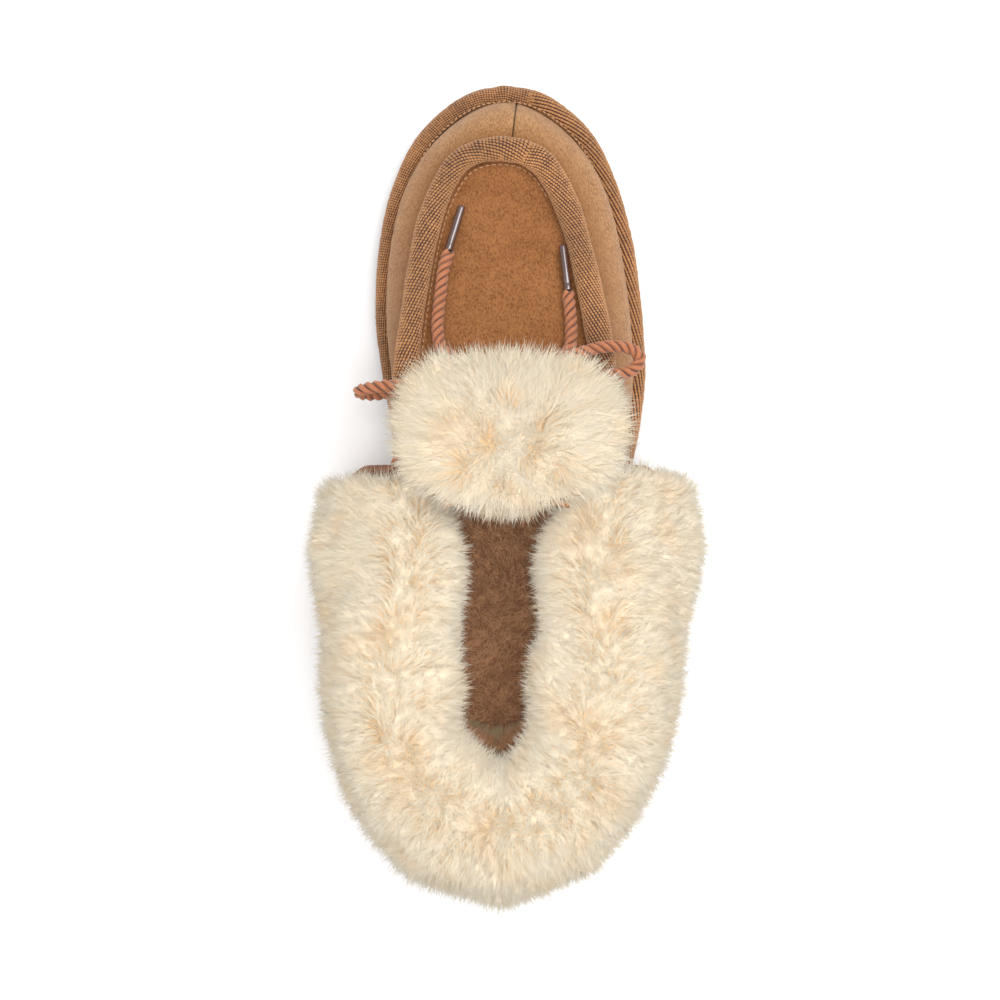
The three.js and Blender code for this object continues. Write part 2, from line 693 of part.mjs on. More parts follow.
// The fleece on the flap: a dome, cut off straight at the fold, with its lower face on the hide.
function flapFleece() {
  const dome = new THREE.SphereGeometry(1, 28, 14);
  dome.rotateX(Math.PI / 2);
  const half = FLAP_WIDTH / 2 + FLAP_PILE_SIDE;
  const front = FLAP_LENGTH + FLAP_PILE_REACH;
  const back = -FLAP_PILE_BACK;
  const place = dome.getAttribute("position");
  for (let k = 0; k < place.count; k += 1) {
    const [x, y, z] = [place.getX(k), place.getY(k), place.getZ(k)];
    const level = Math.hypot(x, y);
    const square = level > 0.01 ? Math.max(Math.abs(x), Math.abs(y)) / level : 1;
    const stretch = mix(1, 1 / square, 0.35);
    place.setX(k, x * half * stretch);
    place.setY(k, mix(back, front, (y * stretch + 1.15) / 2.3));
    place.setZ(k, GAP + 1.2 + (z > 0 ? z * FLAP_PILE : z * 1.2));
  }
  return geometryOf(manifoldOf(dome));
}

// ---- Lace ----
// Its points are given from the middle of the throat: across, forwards, and the height of the rope's underside.
const laid = (x, y, z) => vec(x, throatY + y, THROAT_HEIGHT + z + LACE / 2);
const laceAway = foldRadius - HIDE; // off the shaft, so that it passes under the middle of the fold
const KNOT_HALF = 6.5;
const KNOT_RADIUS = 6.2;
const KNOT = vec(0.5, throatY + 11, THROAT_HEIGHT + PLUG_DOME + KNOT_RADIUS - 0.2);
const knotFace = (side, y, z) => vec(KNOT.x + side * (KNOT_HALF + GAP), KNOT.y + y, KNOT.z + z);

const knotStub = (side, y, z) => [knotFace(side, y, z), knotFace(side, y, z).add(vec(side * 2.5, 0, 0))];

// The outside of the shaft at the lace's height: a point on the hide, the way up it, and the way off it.
function shaftFace(station) {
  const [low, , , , high] = shaft[shaftRowAt(station)];
  const out = outwardAt(rim, station);
  const up = high.clone().sub(low).normalize();
  const off = out.clone().addScaledVector(up, -out.dot(up)).normalize();
  const at = low.clone().lerp(high, LACE_HEIGHT / (high.z - low.z)).addScaledVector(off, HIDE);
  return { at, up, off };
}

// From the knot, back along each side under the cuff and round the heel.
function laceRun() {
  const round = range(-SHAFT_FRONT, SHAFT_FRONT).map((i) => {
    const { at, off } = shaftFace(i);
    return at.addScaledVector(off, laceAway);
  });
  const front = (side) => [
    round.at(side < 0 ? 0 : -1).clone().add(vec(0, 6, 0.2)),
    laid(side * 36, -4.4, 9.2),
    laid(side * 30, 2.4, 10.8),
    laid(side * 19, 7.4, 8.9),
    ...knotStub(side, -3.5, -1.8).reverse(),
  ];
  return tube([...front(-1).reverse(), ...round, ...front(1)], LACE, 8, 64);
}

// The band of rope wrapped round the crossing of the bow.
function bowKnot() {
  const profile = [
    [0, -KNOT_HALF],
    [KNOT_RADIUS - 0.8, -KNOT_HALF],
    [KNOT_RADIUS, -KNOT_HALF + 2],
    [KNOT_RADIUS, KNOT_HALF - 2],
    [KNOT_RADIUS - 0.8, KNOT_HALF],
    [0, KNOT_HALF],
  ].map(([r, h]) => new THREE.Vector2(r, h));
  const body = new THREE.LatheGeometry(profile, 20);
  return body.rotateZ(Math.PI / 2).translate(KNOT.x, KNOT.y, KNOT.z);
}

const loopMedial = [
  ...knotStub(-1, 0.5, 4),
  laid(-15, 13, 14.5),
  laid(-28, 13.6, 17),
  laid(-40, 13.2, 18.1),
  laid(-48, 12.6, 17.5),
  laid(-53, 11.4, 13.5),
  laid(-50.5, 10.4, 8.9),
  laid(-43, 11, 7.1),
  laid(-34, 12.8, 7.9),
  laid(-24, 14.4, 7.3),
  laid(-14, 15, 6.7),
  ...knotStub(-1, 3.6, -1.4).reverse(),
];
const loopLateral = [
  ...knotStub(1, 3.6, -1.4),
  laid(14, 17.6, 8.7),
  laid(21, 23.4, 7.9),
  laid(30, 26.4, 6.9),
  laid(40, 26.8, 5.7),
  laid(48, 26, 4.1),
  laid(52.4, 21.8, 3.5),
  laid(48.4, 17.2, 4.9),
  laid(40, 16.6, 7.1),
  laid(25, 14.8, 10.1),
  laid(15, 12.4, 12.1),
  ...knotStub(1, 0.5, 4).reverse(),
];
const tailMedial = [
  laid(-3.3, 19.2, 5),
  laid(-9.5, 21.8, 3.5),
  laid(-18, 24, 1.9),
  laid(-23.6, 28, -0.1),
  laid(-25, 36, -2.9),
  laid(-24.4, 44, -4.9),
  laid(-23.6, 52, -6.7),
  laid(-22.8, 58, -8.1),
  laid(-21, 64, -9.3),
];
const tailLateral = [
  laid(4.3, 19.2, 5),
  laid(11, 21, 3.5),
  laid(18.6, 23.4, 2.1),
  laid(23.4, 27.4, -0.1),
  laid(24.2, 35, -2.7),
  laid(23.8, 42, -4.5),
  laid(23, 48.8, -6.1),
];

const ropePiece = (points) => tube(points, LACE, 8, 2 * points.length);

// Moulded tip: a little wider where it grips the rope.
function aglet(points) {
  const before = points[points.length - 2];
  const end = points[points.length - 1];
  const level = end.clone().sub(before).normalize();
  const start = end.clone().addScaledVector(level, GAP);
  const half = AGLET_DIAMETER / 2;
  const profile = [
    [0, 0],
    [half, 0],
    [half, 1.5],
    [0.8 * half, AGLET_LENGTH - 1.2],
    [0.5 * half, AGLET_LENGTH],
    [0, AGLET_LENGTH],
  ].map(([r, h]) => new THREE.Vector2(r, h));
  const body = new THREE.LatheGeometry(profile, 12);
  body.applyQuaternion(new THREE.Quaternion().setFromUnitVectors(vec(0, 1, 0), level));
  return body.translate(start.x, start.y, start.z);
}

// Suede loop that holds the lace against the shaft: two feet, and an arch over the rope.
function keeper(station) {
  const { at, up, off } = shaftFace(station);
  const side = off.clone().cross(up);
  const inner = LACE / 2 + GAP;
  const foot = inner + 5;
  const sheetAt = (thick) => {
    const radius = inner + thick;
    const arch = range(0, 8).map((k) => {
      const turn = (k / 8) * Math.PI;
      return [-radius * Math.cos(turn), laceAway + radius * Math.sin(turn)];
    });
    const profile = [[-foot, thick], [-radius, thick], ...arch, [radius, thick], [foot, thick]];
    return profile.map(([along, away]) =>
      [-KEEPER_WIDTH / 2, KEEPER_WIDTH / 2].map((across) =>
        at
          .clone()
          .addScaledVector(up, along)
          .addScaledVector(off, away + 2 * GAP)
          .addScaledVector(side, across),
      ),
    );
  };
  return between(sheetAt(KEEPER_THICK), sheetAt(0));
}

// ---- Assembly ----
const finishes = {
  suede: [0xb07c4c, 0.95, 0],
  suedePlug: [0xa67244, 0.95, 0],
  tape: [0x8a5a3a, 0.9, 0],
  creamFleece: [0xefdfc4, 1, 0],
  brownFleece: [0x7d553a, 1, 0],
  rubber: [0x5b3a26, 0.8, 0],
  foam: [0xe8e2d4, 0.95, 0],
  board: [0xb9a88c, 0.9, 0],
  rope: [0x9c6340, 0.85, 0],
  plastic: [0x50302a, 0.35, 0],
};

function piece(name, geometry, finish) {
  const [color, roughness, metalness] = finishes[finish];
  const material = new THREE.MeshStandardMaterial({ color, roughness, metalness });
  const mesh = new THREE.Mesh(geometry, material);
  mesh.name = name;
  return mesh;
}

const moccasin = new THREE.Group();
moccasin.add(
  piece("outsole", outsole(), "rubber"),
  piece("foam_midsole", foamMidsole(), "foam"),
  piece("insole_board", insoleBoard(), "board"),
  piece("insole_fleece", insoleFleece(), "brownFleece"),
  piece("sole_binding", soleBinding(), "tape"),
  piece("wall_medial", wallHalf(-TOE, 0), "suede"),
  piece("wall_lateral", wallHalf(0, TOE), "suede"),
  piece("lining_medial", liningHalf(-TOE, 0), "brownFleece"),
  piece("lining_lateral", liningHalf(0, TOE), "brownFleece"),
  piece("heel_counter", heelCounter(), "board"),
  piece("back_strap", backStrap(), "suede"),
  piece("plug", plug(), "suedePlug"),
  piece("plug_lining", plugLining(), "brownFleece"),
  piece("plug_binding", plugBinding(), "tape"),
  piece("shaft_medial", shaftHide(-SHAFT_FRONT, 0), "suede"),
  piece("shaft_lateral", shaftHide(0, SHAFT_FRONT), "suede"),
  piece("cuff_fleece_medial", cuffFleece(-SHAFT_FRONT, 0), "creamFleece"),
  piece("cuff_fleece_lateral", cuffFleece(0, SHAFT_FRONT), "creamFleece"),
  piece("edge_binding_medial", edgeBinding(-1), "tape"),
  piece("edge_binding_lateral", edgeBinding(1), "tape"),
  piece("tongue", tongueHide(), "suede"),
  piece("tongue_fleece", tongueFleece(), "creamFleece"),
  piece("lace_run", laceRun(), "rope"),
  piece("bow_knot", bowKnot(), "rope"),
  piece("bow_loop_medial", ropePiece(loopMedial), "rope"),
  piece("bow_loop_lateral", ropePiece(loopLateral), "rope"),
  piece("lace_tail_medial", ropePiece(tailMedial), "rope"),
  piece("lace_tail_lateral", ropePiece(tailLateral), "rope"),
  piece("aglet_medial", aglet(tailMedial), "plastic"),
  piece("aglet_lateral", aglet(tailLateral), "plastic"),
  piece("keeper_medial", keeper(-6), "suede"),
  piece("keeper_lateral", keeper(6), "suede"),
  piece("keeper_heel", keeper(0), "suede"),
);

const flap = new THREE.Group();
flap.position.set(0, foldY, foldZ);
flap.rotation.x = THREE.MathUtils.degToRad(-FLAP_DROOP);
flap.add(piece("flap_hide", flapHide(), "suede"), piece("flap_fleece", flapFleece(), "creamFleece"));
moccasin.add(flap);

export default moccasin;
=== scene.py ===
import math

import bmesh
import bpy
import numpy as np
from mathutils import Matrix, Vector, noise
from mathutils.bvhtree import BVHTree


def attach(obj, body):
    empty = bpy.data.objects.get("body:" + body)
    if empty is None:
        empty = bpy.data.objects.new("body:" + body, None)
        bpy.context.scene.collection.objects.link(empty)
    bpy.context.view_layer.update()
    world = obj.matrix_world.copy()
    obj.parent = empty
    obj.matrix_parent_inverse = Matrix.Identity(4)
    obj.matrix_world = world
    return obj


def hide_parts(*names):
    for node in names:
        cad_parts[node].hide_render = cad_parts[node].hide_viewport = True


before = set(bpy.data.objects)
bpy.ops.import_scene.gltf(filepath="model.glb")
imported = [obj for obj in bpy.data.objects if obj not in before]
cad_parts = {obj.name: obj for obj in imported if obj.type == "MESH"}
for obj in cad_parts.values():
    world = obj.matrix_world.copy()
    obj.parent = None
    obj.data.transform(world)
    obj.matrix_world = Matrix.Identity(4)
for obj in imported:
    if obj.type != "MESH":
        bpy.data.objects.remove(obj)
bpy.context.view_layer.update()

# ---------------------------------------------------------------- studio
# A pale paper floor under a broad soft light from above, and the camera that
# looks straight down on the shoe. None of it belongs to the shoe.
MM = 0.001
scene = bpy.context.scene
scene.view_settings.view_transform = "Standard"


def dye(red, green, blue):
    """A colour named in the usual 0 to 255 steps, as the linear light that shaders mix."""
    steps = [value / 255 for value in (red, green, blue)]
    return [s / 12.92 if s <= 0.04045 else ((s + 0.055) / 1.055) ** 2.4 for s in steps] + [1.0]


def put(tree, kind, links=None, **settings):
    """One node in a tree. Links are keyed by socket name or number, and hold a value or another node's output."""
    made = tree.nodes.new(kind)
    for key, value in settings.items():
        setattr(made, key, value)
    for key, value in (links or {}).items():
        if isinstance(value, bpy.types.NodeSocket):
            tree.links.new(value, made.inputs[key])
        else:
            made.inputs[key].default_value = value
    return made


def surface(name, **sockets):
    """A material with one Principled shader, whose even values are set on its own sockets."""
    material = bpy.data.materials.new(name)
    material.use_nodes = True
    tree = material.node_tree
    shader = tree.nodes["Principled BSDF"]
    for key, value in sockets.items():
        shader.inputs[key.replace("_", " ")].default_value = value
    return material, tree, shader


paper, paper_tree, paper_shader = surface("studio paper", Roughness=0.9)
paper_grain = put(paper_tree, "ShaderNodeTexNoise", {
    "Vector": put(paper_tree, "ShaderNodeTexCoord").outputs["Object"], "Scale": 900.0, "Detail": 2.0})
paper_tree.links.new(put(paper_tree, "ShaderNodeMix", {
    0: paper_grain.outputs["Fac"], 6: dye(250, 250, 250), 7: dye(255, 255, 255)},
    data_type="RGBA").outputs[2], paper_shader.inputs["Base Color"])
bpy.ops.mesh.primitive_plane_add(size=8.0, location=(0, 0, -0.0006))
floor = bpy.context.object
floor.name = "studio_floor"
floor.data.materials.append(paper)

world = bpy.data.worlds.new("studio air")
scene.world = world
world.use_nodes = True
world.node_tree.nodes["Background"].inputs["Color"].default_value = (1.0, 1.0, 1.0, 1.0)
world.node_tree.nodes["Background"].inputs["Strength"].default_value = 0.63

for lamp_name, place, aim, size, power in (
        ("softbox_over_toe", (0.42, 0.5, 1.2), (0, 0.02, 0.05), 0.8, 9.0),
        ("softbox_inner_side", (-0.75, -0.1, 1.05), (0, -0.04, 0.05), 0.8, 1.8),
        ("softbox_behind", (0.45, -0.85, 1.15), (0, -0.06, 0.05), 0.8, 4.0),
        ("softbox_overhead", (0.0, -0.05, 1.5), (0, -0.05, 0.05), 0.45, 8.0)):
    lamp = bpy.data.objects.new(lamp_name, bpy.data.lights.new(lamp_name, "AREA"))
    lamp.data.shape, lamp.data.size, lamp.data.energy = "SQUARE", size, power
    lamp.location = place
    lamp.rotation_euler = (Vector(aim) - Vector(place)).to_track_quat("-Z", "Y").to_euler()
    scene.collection.objects.link(lamp)

camera = bpy.data.objects.new("camera_above", bpy.data.cameras.new("camera_above"))
camera.location = (-0.002, -0.026, 1.100)
camera.data.lens, camera.data.sensor_width = 101.5, 36.0
camera.data.clip_start, camera.data.clip_end = 0.05, 20.0
scene.collection.objects.link(camera)
scene.camera = camera

# ---------------------------------------------------------------- lace
# One twisted rope of three soft cotton strands, 5 mm thick. It goes round the
# shaft under the cuff and is tied in a bow over the instep, with moulded tips.
LACE = 5 * MM
LACE_STRANDS, LACE_LAY = 3, 9.6 * MM
LACE_FIBRE = dye(180, 112, 74)
# Painted shade: the colour deep in the grooves between the strands.
LACE_GROOVE_SHADE = dye(52, 24, 14)


def even(points, step, closed=False):
    """A smooth line through a few points, with a point about every step."""
    points = np.array(points, float)
    if closed:
        knots = np.vstack([points[-1], points, points[0], points[1]])
    else:
        knots = np.vstack([2 * points[0] - points[1], points, 2 * points[-1] - points[-2]])
    line = []
    for a, b, c, d in zip(knots[:-3], knots[1:-2], knots[2:-1], knots[3:]):
        t = np.linspace(0, 1, 24, endpoint=False)[:, None]
        line.append(0.5 * (2 * b + (c - a) * t + (2 * a - 5 * b + 4 * c - d) * t ** 2
                           + (3 * b - a - 3 * c + d) * t ** 3))
    line = np.vstack(line + [points[:1] if closed else points[-1:]])
    along = np.concatenate([[0], np.cumsum(np.linalg.norm(np.diff(line, axis=0), axis=1))])
    at = np.linspace(0, along[-1], max(2, round(along[-1] / step) + 1))
    return np.stack([np.interp(at, along, line[:, k]) for k in range(3)], axis=1)


def carried(line, up=None):
    """Along a line: its direction, and two directions across it, the second of them near up where up is given."""
    ahead = np.gradient(line, axis=0)
    ahead /= np.linalg.norm(ahead, axis=1)[:, None]
    if up is not None:
        across = np.cross(ahead, np.array(up, float))
        across /= np.linalg.norm(across, axis=1)[:, None]
        return ahead, across, np.cross(across, ahead)
    first = np.cross(ahead[0], (0.3, 0.2, 1.0))
    across = [first / np.linalg.norm(first)]
    for direction in ahead[1:]:
        side = across[-1] - direction * (across[-1] @ direction)
        across.append(side / np.linalg.norm(side))
    across = np.array(across)
    return ahead, across, np.cross(ahead, across)


def new_piece(name, points, faces, *finishes):
    mesh = bpy.data.meshes.new(name)
    mesh.from_pydata(np.asarray(points).tolist(), [], faces)
    mesh.polygons.foreach_set("use_smooth", [True] * len(mesh.polygons))
    for material in finishes:
        mesh.materials.append(material)
    piece = bpy.data.objects.new(name, mesh)
    scene.collection.objects.link(piece)
    return piece


def skinned(rings, start=0):
    """The faces of a tube over rings of points, with a fan at each end. Returns its points and its faces."""
    count, around = rings.shape[:2]
    points = np.vstack([rings.reshape(-1, 3), rings[0].mean(0), rings[-1].mean(0)])
    faces = []
    for i in range(count - 1):
        low, high = start + i * around, start + (i + 1) * around
        faces += [(low + j, low + (j + 1) % around, high + (j + 1) % around, high + j) for j in range(around)]
    first, last = start + count * around, start + count * around + 1
    end = start + (count - 1) * around
    faces += [(first, start + (j + 1) % around, start + j) for j in range(around)]
    faces += [(last, end + j, end + (j + 1) % around) for j in range(around)]
    return points, faces


def rope_rings(line, strand):
    """The rings of one strand of the rope: round, with four plies of its own."""
    core = LACE / 2 / (1 + 2 / math.sqrt(3))
    ahead, across, over = carried(line)
    along = np.concatenate([[0], np.cumsum(np.linalg.norm(np.diff(line, axis=0), axis=1))])
    turn = 2 * math.pi * (along / LACE_LAY + strand / LACE_STRANDS)
    out = across * np.cos(turn)[:, None] + over * np.sin(turn)[:, None]
    middle = line + out * (LACE / 2 - core) * 0.95
    ahead, across, over = carried(middle)
    ply = np.linspace(0, 2 * math.pi, 12, endpoint=False)
    swell = 0.93 * core * (1 + 0.09 * np.cos(4 * (ply[None, :] - along[:, None] / (2.4 * MM))))
    return (middle[:, None] + across[:, None] * (swell * np.cos(ply))[..., None]
            + over[:, None] * (swell * np.sin(ply))[..., None])


def rope(name, line, finish_of_rope):
    points, faces, depth = [], [], []
    for strand in range(LACE_STRANDS):
        rings = rope_rings(line, strand)
        more, more_faces = skinned(rings, sum(len(p) for p in points))
        points.append(more)
        faces += more_faces
        far = np.linalg.norm(rings - line[:, None], axis=2) / (LACE / 2)
        depth.append(np.concatenate([far.ravel(), [0.5, 0.5]]))
    piece = new_piece(name, np.vstack(points), faces, finish_of_rope)
    mark(piece, "outer", np.concatenate(depth))
    return piece


def mark(piece, name, values, domain="POINT"):
    """Writes a number or a direction on every point of a piece, for its material or its node tree to read."""
    values = np.asarray(values, np.float32)
    kind, field = ("FLOAT", "value") if values.ndim == 1 else ("FLOAT_VECTOR", "vector")
    piece.data.attributes.new(name, kind, domain).data.foreach_set(field, values.ravel())


rope_finish, rope_tree, rope_shader = surface("twisted cotton lace", Roughness=0.82, Sheen_Weight=0.25, Sheen_Roughness=0.5)
rope_outer = put(rope_tree, "ShaderNodeAttribute", attribute_name="outer")
rope_fuzz = put(rope_tree, "ShaderNodeTexNoise", {
    "Vector": put(rope_tree, "ShaderNodeTexCoord").outputs["Object"], "Scale": 2600.0, "Detail": 3.0})
# Painted shade: the strands are darkened towards the rope's middle, in the grooves between them.
rope_level = put(rope_tree, "ShaderNodeMapRange", {
    "Value": rope_outer.outputs["Fac"], "From Min": 0.6, "From Max": 0.92}, clamp=True)
rope_dark = put(rope_tree, "ShaderNodeMix", {
    0: rope_level.outputs["Result"], 6: LACE_GROOVE_SHADE, 7: LACE_FIBRE}, data_type="RGBA")
rope_tone = put(rope_tree, "ShaderNodeMapRange", {
    "Value": rope_fuzz.outputs["Fac"], "From Min": 0.3, "From Max": 0.7, "To Min": 0.72, "To Max": 1.2})
rope_colour = put(rope_tree, "ShaderNodeVectorMath", {
    0: rope_dark.outputs[2], "Scale": rope_tone.outputs["Result"]}, operation="SCALE")
rope_tree.links.new(rope_colour.outputs[0], rope_shader.inputs["Base Color"])
rope_tree.links.new(put(rope_tree, "ShaderNodeBump", {
    "Height": rope_fuzz.outputs["Fac"], "Strength": 0.5, "Distance": 0.0003}).outputs[0], rope_shader.inputs["Normal"])


def cut_line(node, pivot, bearings):
    """The line down the middle of a CAD tube, where upright planes through a pivot cut it, at bearings in degrees."""
    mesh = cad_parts[node].data
    mesh.calc_loop_triangles()
    place = np.zeros(len(mesh.vertices) * 3)
    mesh.vertices.foreach_get("co", place)
    corners = np.zeros(len(mesh.loop_triangles) * 3, int)
    mesh.loop_triangles.foreach_get("vertices", corners)
    triangles = place.reshape(-1, 3)[corners].reshape(-1, 3, 3) - np.array([*pivot, 0.0])
    line = []
    for bearing in np.radians(bearings):
        beside = triangles @ np.array([-math.sin(bearing), math.cos(bearing), 0.0])
        hits = []
        for a, b in ((0, 1), (1, 2), (2, 0)):
            crossing = beside[:, a] * beside[:, b] < 0
            share = np.where(crossing, beside[:, a] / np.where(crossing, beside[:, a] - beside[:, b], 1), np.nan)
            hits.append(triangles[:, a] + share[:, None] * (triangles[:, b] - triangles[:, a]))
        hits = np.stack(hits, 1)
        both = np.isfinite(hits[..., 0]).sum(1) == 2
        ends = hits[both][np.isfinite(hits[both][..., 0])].reshape(-1, 2, 3)
        middle = ends.mean(1)
        size = np.linalg.norm(ends[:, 0] - ends[:, 1], axis=1)
        ahead = middle @ np.array([math.cos(bearing), math.sin(bearing), 0.0]) > 0
        if ahead.any():
            line.append((middle[ahead] * size[ahead, None]).sum(0) / size[ahead].sum() + np.array([*pivot, 0.0]))
    return np.array(line)


KNOT = np.array([0.5, 13.0, 74.0]) * MM
loop_inner = np.array([
    (-3.0, 13.5, 77.6), (-6.3, 13.5, 78), (-8.8, 13.6, 78.2), (-15, 15, 80), (-28, 15.6, 82.5), (-40, 15.2, 83.6),
    (-48, 14.6, 83), (-53, 13.4, 79), (-50.5, 12.4, 74.4), (-43, 13, 72.6), (-34, 14.8, 73.4), (-24, 16.4, 72.8),
    (-14, 17, 72.2), (-8.8, 16.6, 72.6), (-6.3, 16.6, 72.6), (-3.0, 16.2, 73.0)]) * MM
loop_outer = np.array([
    (4.0, 16.2, 73.0), (7.3, 16.6, 72.6), (9.8, 16.9, 72.9), (14, 19.6, 74.2), (21, 25.4, 73.4), (30, 28.4, 72.4),
    (38, 30, 71.4), (45.2, 29.4, 69.8), (49.2, 25.8, 69.2), (46, 21.2, 70.6), (38.5, 19.6, 72.8), (25, 17.2, 75.6),
    (15, 14.4, 77.6), (9.8, 13.5, 78), (7.3, 13.5, 78), (4.0, 13.5, 77.6)]) * MM
tail_inner = np.array([
    (-1.2, 18.6, 71.8), (-3.3, 21.2, 70.5), (-9.5, 23.8, 69), (-18, 26, 67.4), (-23.6, 30, 65.4), (-25, 38, 62.6),
    (-24.4, 46, 60.6), (-23.6, 54, 58.8), (-22.8, 60, 57.4), (-21, 66, 56.2)]) * MM
tail_outer = np.array([
    (2.0, 18.6, 71.8), (4.3, 21.2, 70.5), (11, 23, 69), (18.6, 25.4, 67.6), (23.4, 29.4, 65.4), (24.2, 37, 62.8),
    (23.8, 44, 61), (23, 50.8, 59.4)]) * MM
run_middle = cut_line("lace_run", (-0.002, -0.050), np.linspace(80, -260, 86))
run_line = np.vstack([np.array([[3.0, 9.6, 72.4], [7.3, 9.5, 72.2]]) * MM, run_middle,
                      np.array([[-6.3, 9.5, 72.2], [-3.0, 9.6, 72.4]]) * MM])


def long_axis(node):
    """The two ends of a slender CAD piece, the nearest to the knot first."""
    place = np.array([v.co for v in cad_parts[node].data.vertices])
    centre = (place.max(0) + place.min(0)) / 2
    way = np.linalg.svd(place - place.mean(0), full_matrices=False)[2][0]
    reach = (place - centre) @ way
    ends = centre + way * reach.min(), centre + way * reach.max()
    return ends if np.linalg.norm(ends[0] - KNOT) < np.linalg.norm(ends[1] - KNOT) else ends[::-1]


tip_finish, tip_tree, tip_shader = surface(
    "moulded lace tip", Roughness=0.22, Coat_Weight=1.0, Coat_Roughness=0.1, IOR=2.0)
tip_streak = put(tip_tree, "ShaderNodeTexNoise", {
    "Vector": put(tip_tree, "ShaderNodeTexCoord").outputs["Object"], "Scale": 420.0, "Detail": 2.0})
tip_tree.links.new(put(tip_tree, "ShaderNodeMix", {
    0: tip_streak.outputs["Fac"], 6: dye(52, 24, 18), 7: dye(84, 42, 30)}, data_type="RGBA").outputs[2],
    tip_shader.inputs["Base Color"])


def lace_tip(name, node):
    """A plastic sleeve crimped on the rope's end: a flared collar, a dented waist and a rounded nose."""
    near, far = long_axis(node)
    profile = [(0.0, 1.3), (0.15, 1.5), (0.5, 1.56), (2.2, 1.55), (2.5, 1.46), (2.9, 1.46), (3.2, 1.54), (8, 1.52),
               (13.5, 1.5), (16.6, 1.48), (17.4, 1.44), (17.7, 1.3), (17.72, 1.1), (17.3, 0.95), (16.8, 0.6)]
    long = np.linalg.norm(far - near)
    line = np.array([near + (far - near) * min(step / 18.0, 1.0) for step, _ in profile])
    turns = np.linspace(0, 2 * math.pi, 28, endpoint=False)
    ahead = (far - near) / long
    across = np.cross(ahead, (0, 0, 1.0))
    across /= np.linalg.norm(across)
    over = np.cross(ahead, across)
    rings = np.array([line[i] + wide * MM * (np.cos(turns)[:, None] * across + np.sin(turns)[:, None] * over)
                      for i, (_, wide) in enumerate(profile)])
    piece = new_piece(name, *skinned(rings), tip_finish)
    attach(piece, "shoe")
    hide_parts(node)
    return piece


lace_tip_medial = lace_tip("lace_tip_medial", "aglet_medial")
lace_tip_lateral = lace_tip("lace_tip_lateral", "aglet_lateral")

wrap_turn = np.linspace(-0.3, 1.85, 60)
wrap_line = np.stack([KNOT[0] + (wrap_turn - 0.775) * 4.7 * MM,
                      KNOT[1] + 3.55 * MM * np.cos(2 * math.pi * wrap_turn),
                      KNOT[2] + 3.55 * MM * np.sin(2 * math.pi * wrap_turn)], axis=1)
lace_knot = rope("lace_knot", even(wrap_line, 0.6 * MM), rope_finish)
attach(lace_knot, "shoe")
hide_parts("bow_knot")

for rope_name, route, node, ends_in, hangs, on_it in (
        ("lace_round_shaft", run_line, "lace_run", "object", "taut", [lace_knot]),
        ("lace_loop_medial", loop_inner, "bow_loop_medial", "object", "loose", []),
        ("lace_loop_lateral", loop_outer, "bow_loop_lateral", "object", "loose", []),
        ("lace_end_medial", tail_inner, "lace_tail_medial", "fitting", "loose", [lace_tip_medial]),
        ("lace_end_lateral", tail_outer, "lace_tail_lateral", "fitting", "loose", [lace_tip_lateral])):
    line = even(route, 0.6 * MM)
    piece = rope(rope_name, line, rope_finish)
    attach(piece, "shoe")
    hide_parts(node)
    long = float(np.linalg.norm(np.diff(line, axis=0), axis=1).sum())

# ---------------------------------------------------------------- sole
# A moulded rubber sole with a cross-cut tread. On it, inside the upper's foot,
# lie a foam layer and the fibre board that the upper is lasted to.


def evaluated(piece, name):
    """The piece as its modifiers leave it, as a plain piece of its own; the first one is thrown away."""
    graph = bpy.context.evaluated_depsgraph_get()
    mesh = bpy.data.meshes.new_from_object(piece.evaluated_get(graph), preserve_all_data_layers=True, depsgraph=graph)
    mesh.name = name
    bpy.data.objects.remove(piece)
    made = bpy.data.objects.new(name, mesh)
    scene.collection.objects.link(made)
    return made


def merged(*nodes):
    """One mesh of some CAD nodes' triangles, with their corners merged and flat pairs joined to four-sided faces."""
    shape = bmesh.new()
    for node in nodes:
        shape.from_mesh(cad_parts[node].data)
    bmesh.ops.remove_doubles(shape, verts=shape.verts, dist=0.00002)
    bmesh.ops.join_triangles(shape, faces=shape.faces, angle_face_threshold=math.radians(20),
                             angle_shape_threshold=math.radians(50))
    return shape


def joined(first, second, gap=1.3 * MM):
    """Two CAD nodes that meet at seams, as one mesh: the faces across a seam are dropped and its edges welded."""
    shape, trees = bmesh.new(), []
    for node in (first, second):
        alone = bmesh.new()
        alone.from_mesh(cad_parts[node].data)
        trees.append(BVHTree.FromBMesh(alone))
        alone.free()
    for node, other in ((first, trees[1]), (second, trees[0])):
        alone = bmesh.new()
        alone.from_mesh(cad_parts[node].data)
        bmesh.ops.remove_doubles(alone, verts=alone.verts, dist=0.00002)
        alone.normal_update()
        caps = [face for face in alone.faces if (hit := other.ray_cast(
            face.calc_center_median(), face.normal, gap))[0] is not None and hit[1].dot(face.normal) < -0.5]
        bmesh.ops.delete(alone, geom=caps, context="FACES")
        kept = bpy.data.meshes.new("half")
        alone.to_mesh(kept)
        alone.free()
        shape.from_mesh(kept)
        bpy.data.meshes.remove(kept)
    edges = [vert for vert in shape.verts if vert.is_boundary]
    bmesh.ops.remove_doubles(shape, verts=edges, dist=gap)
    bmesh.ops.join_triangles(shape, faces=shape.faces, angle_face_threshold=math.radians(20),
                             angle_shape_threshold=math.radians(50))
    return shape


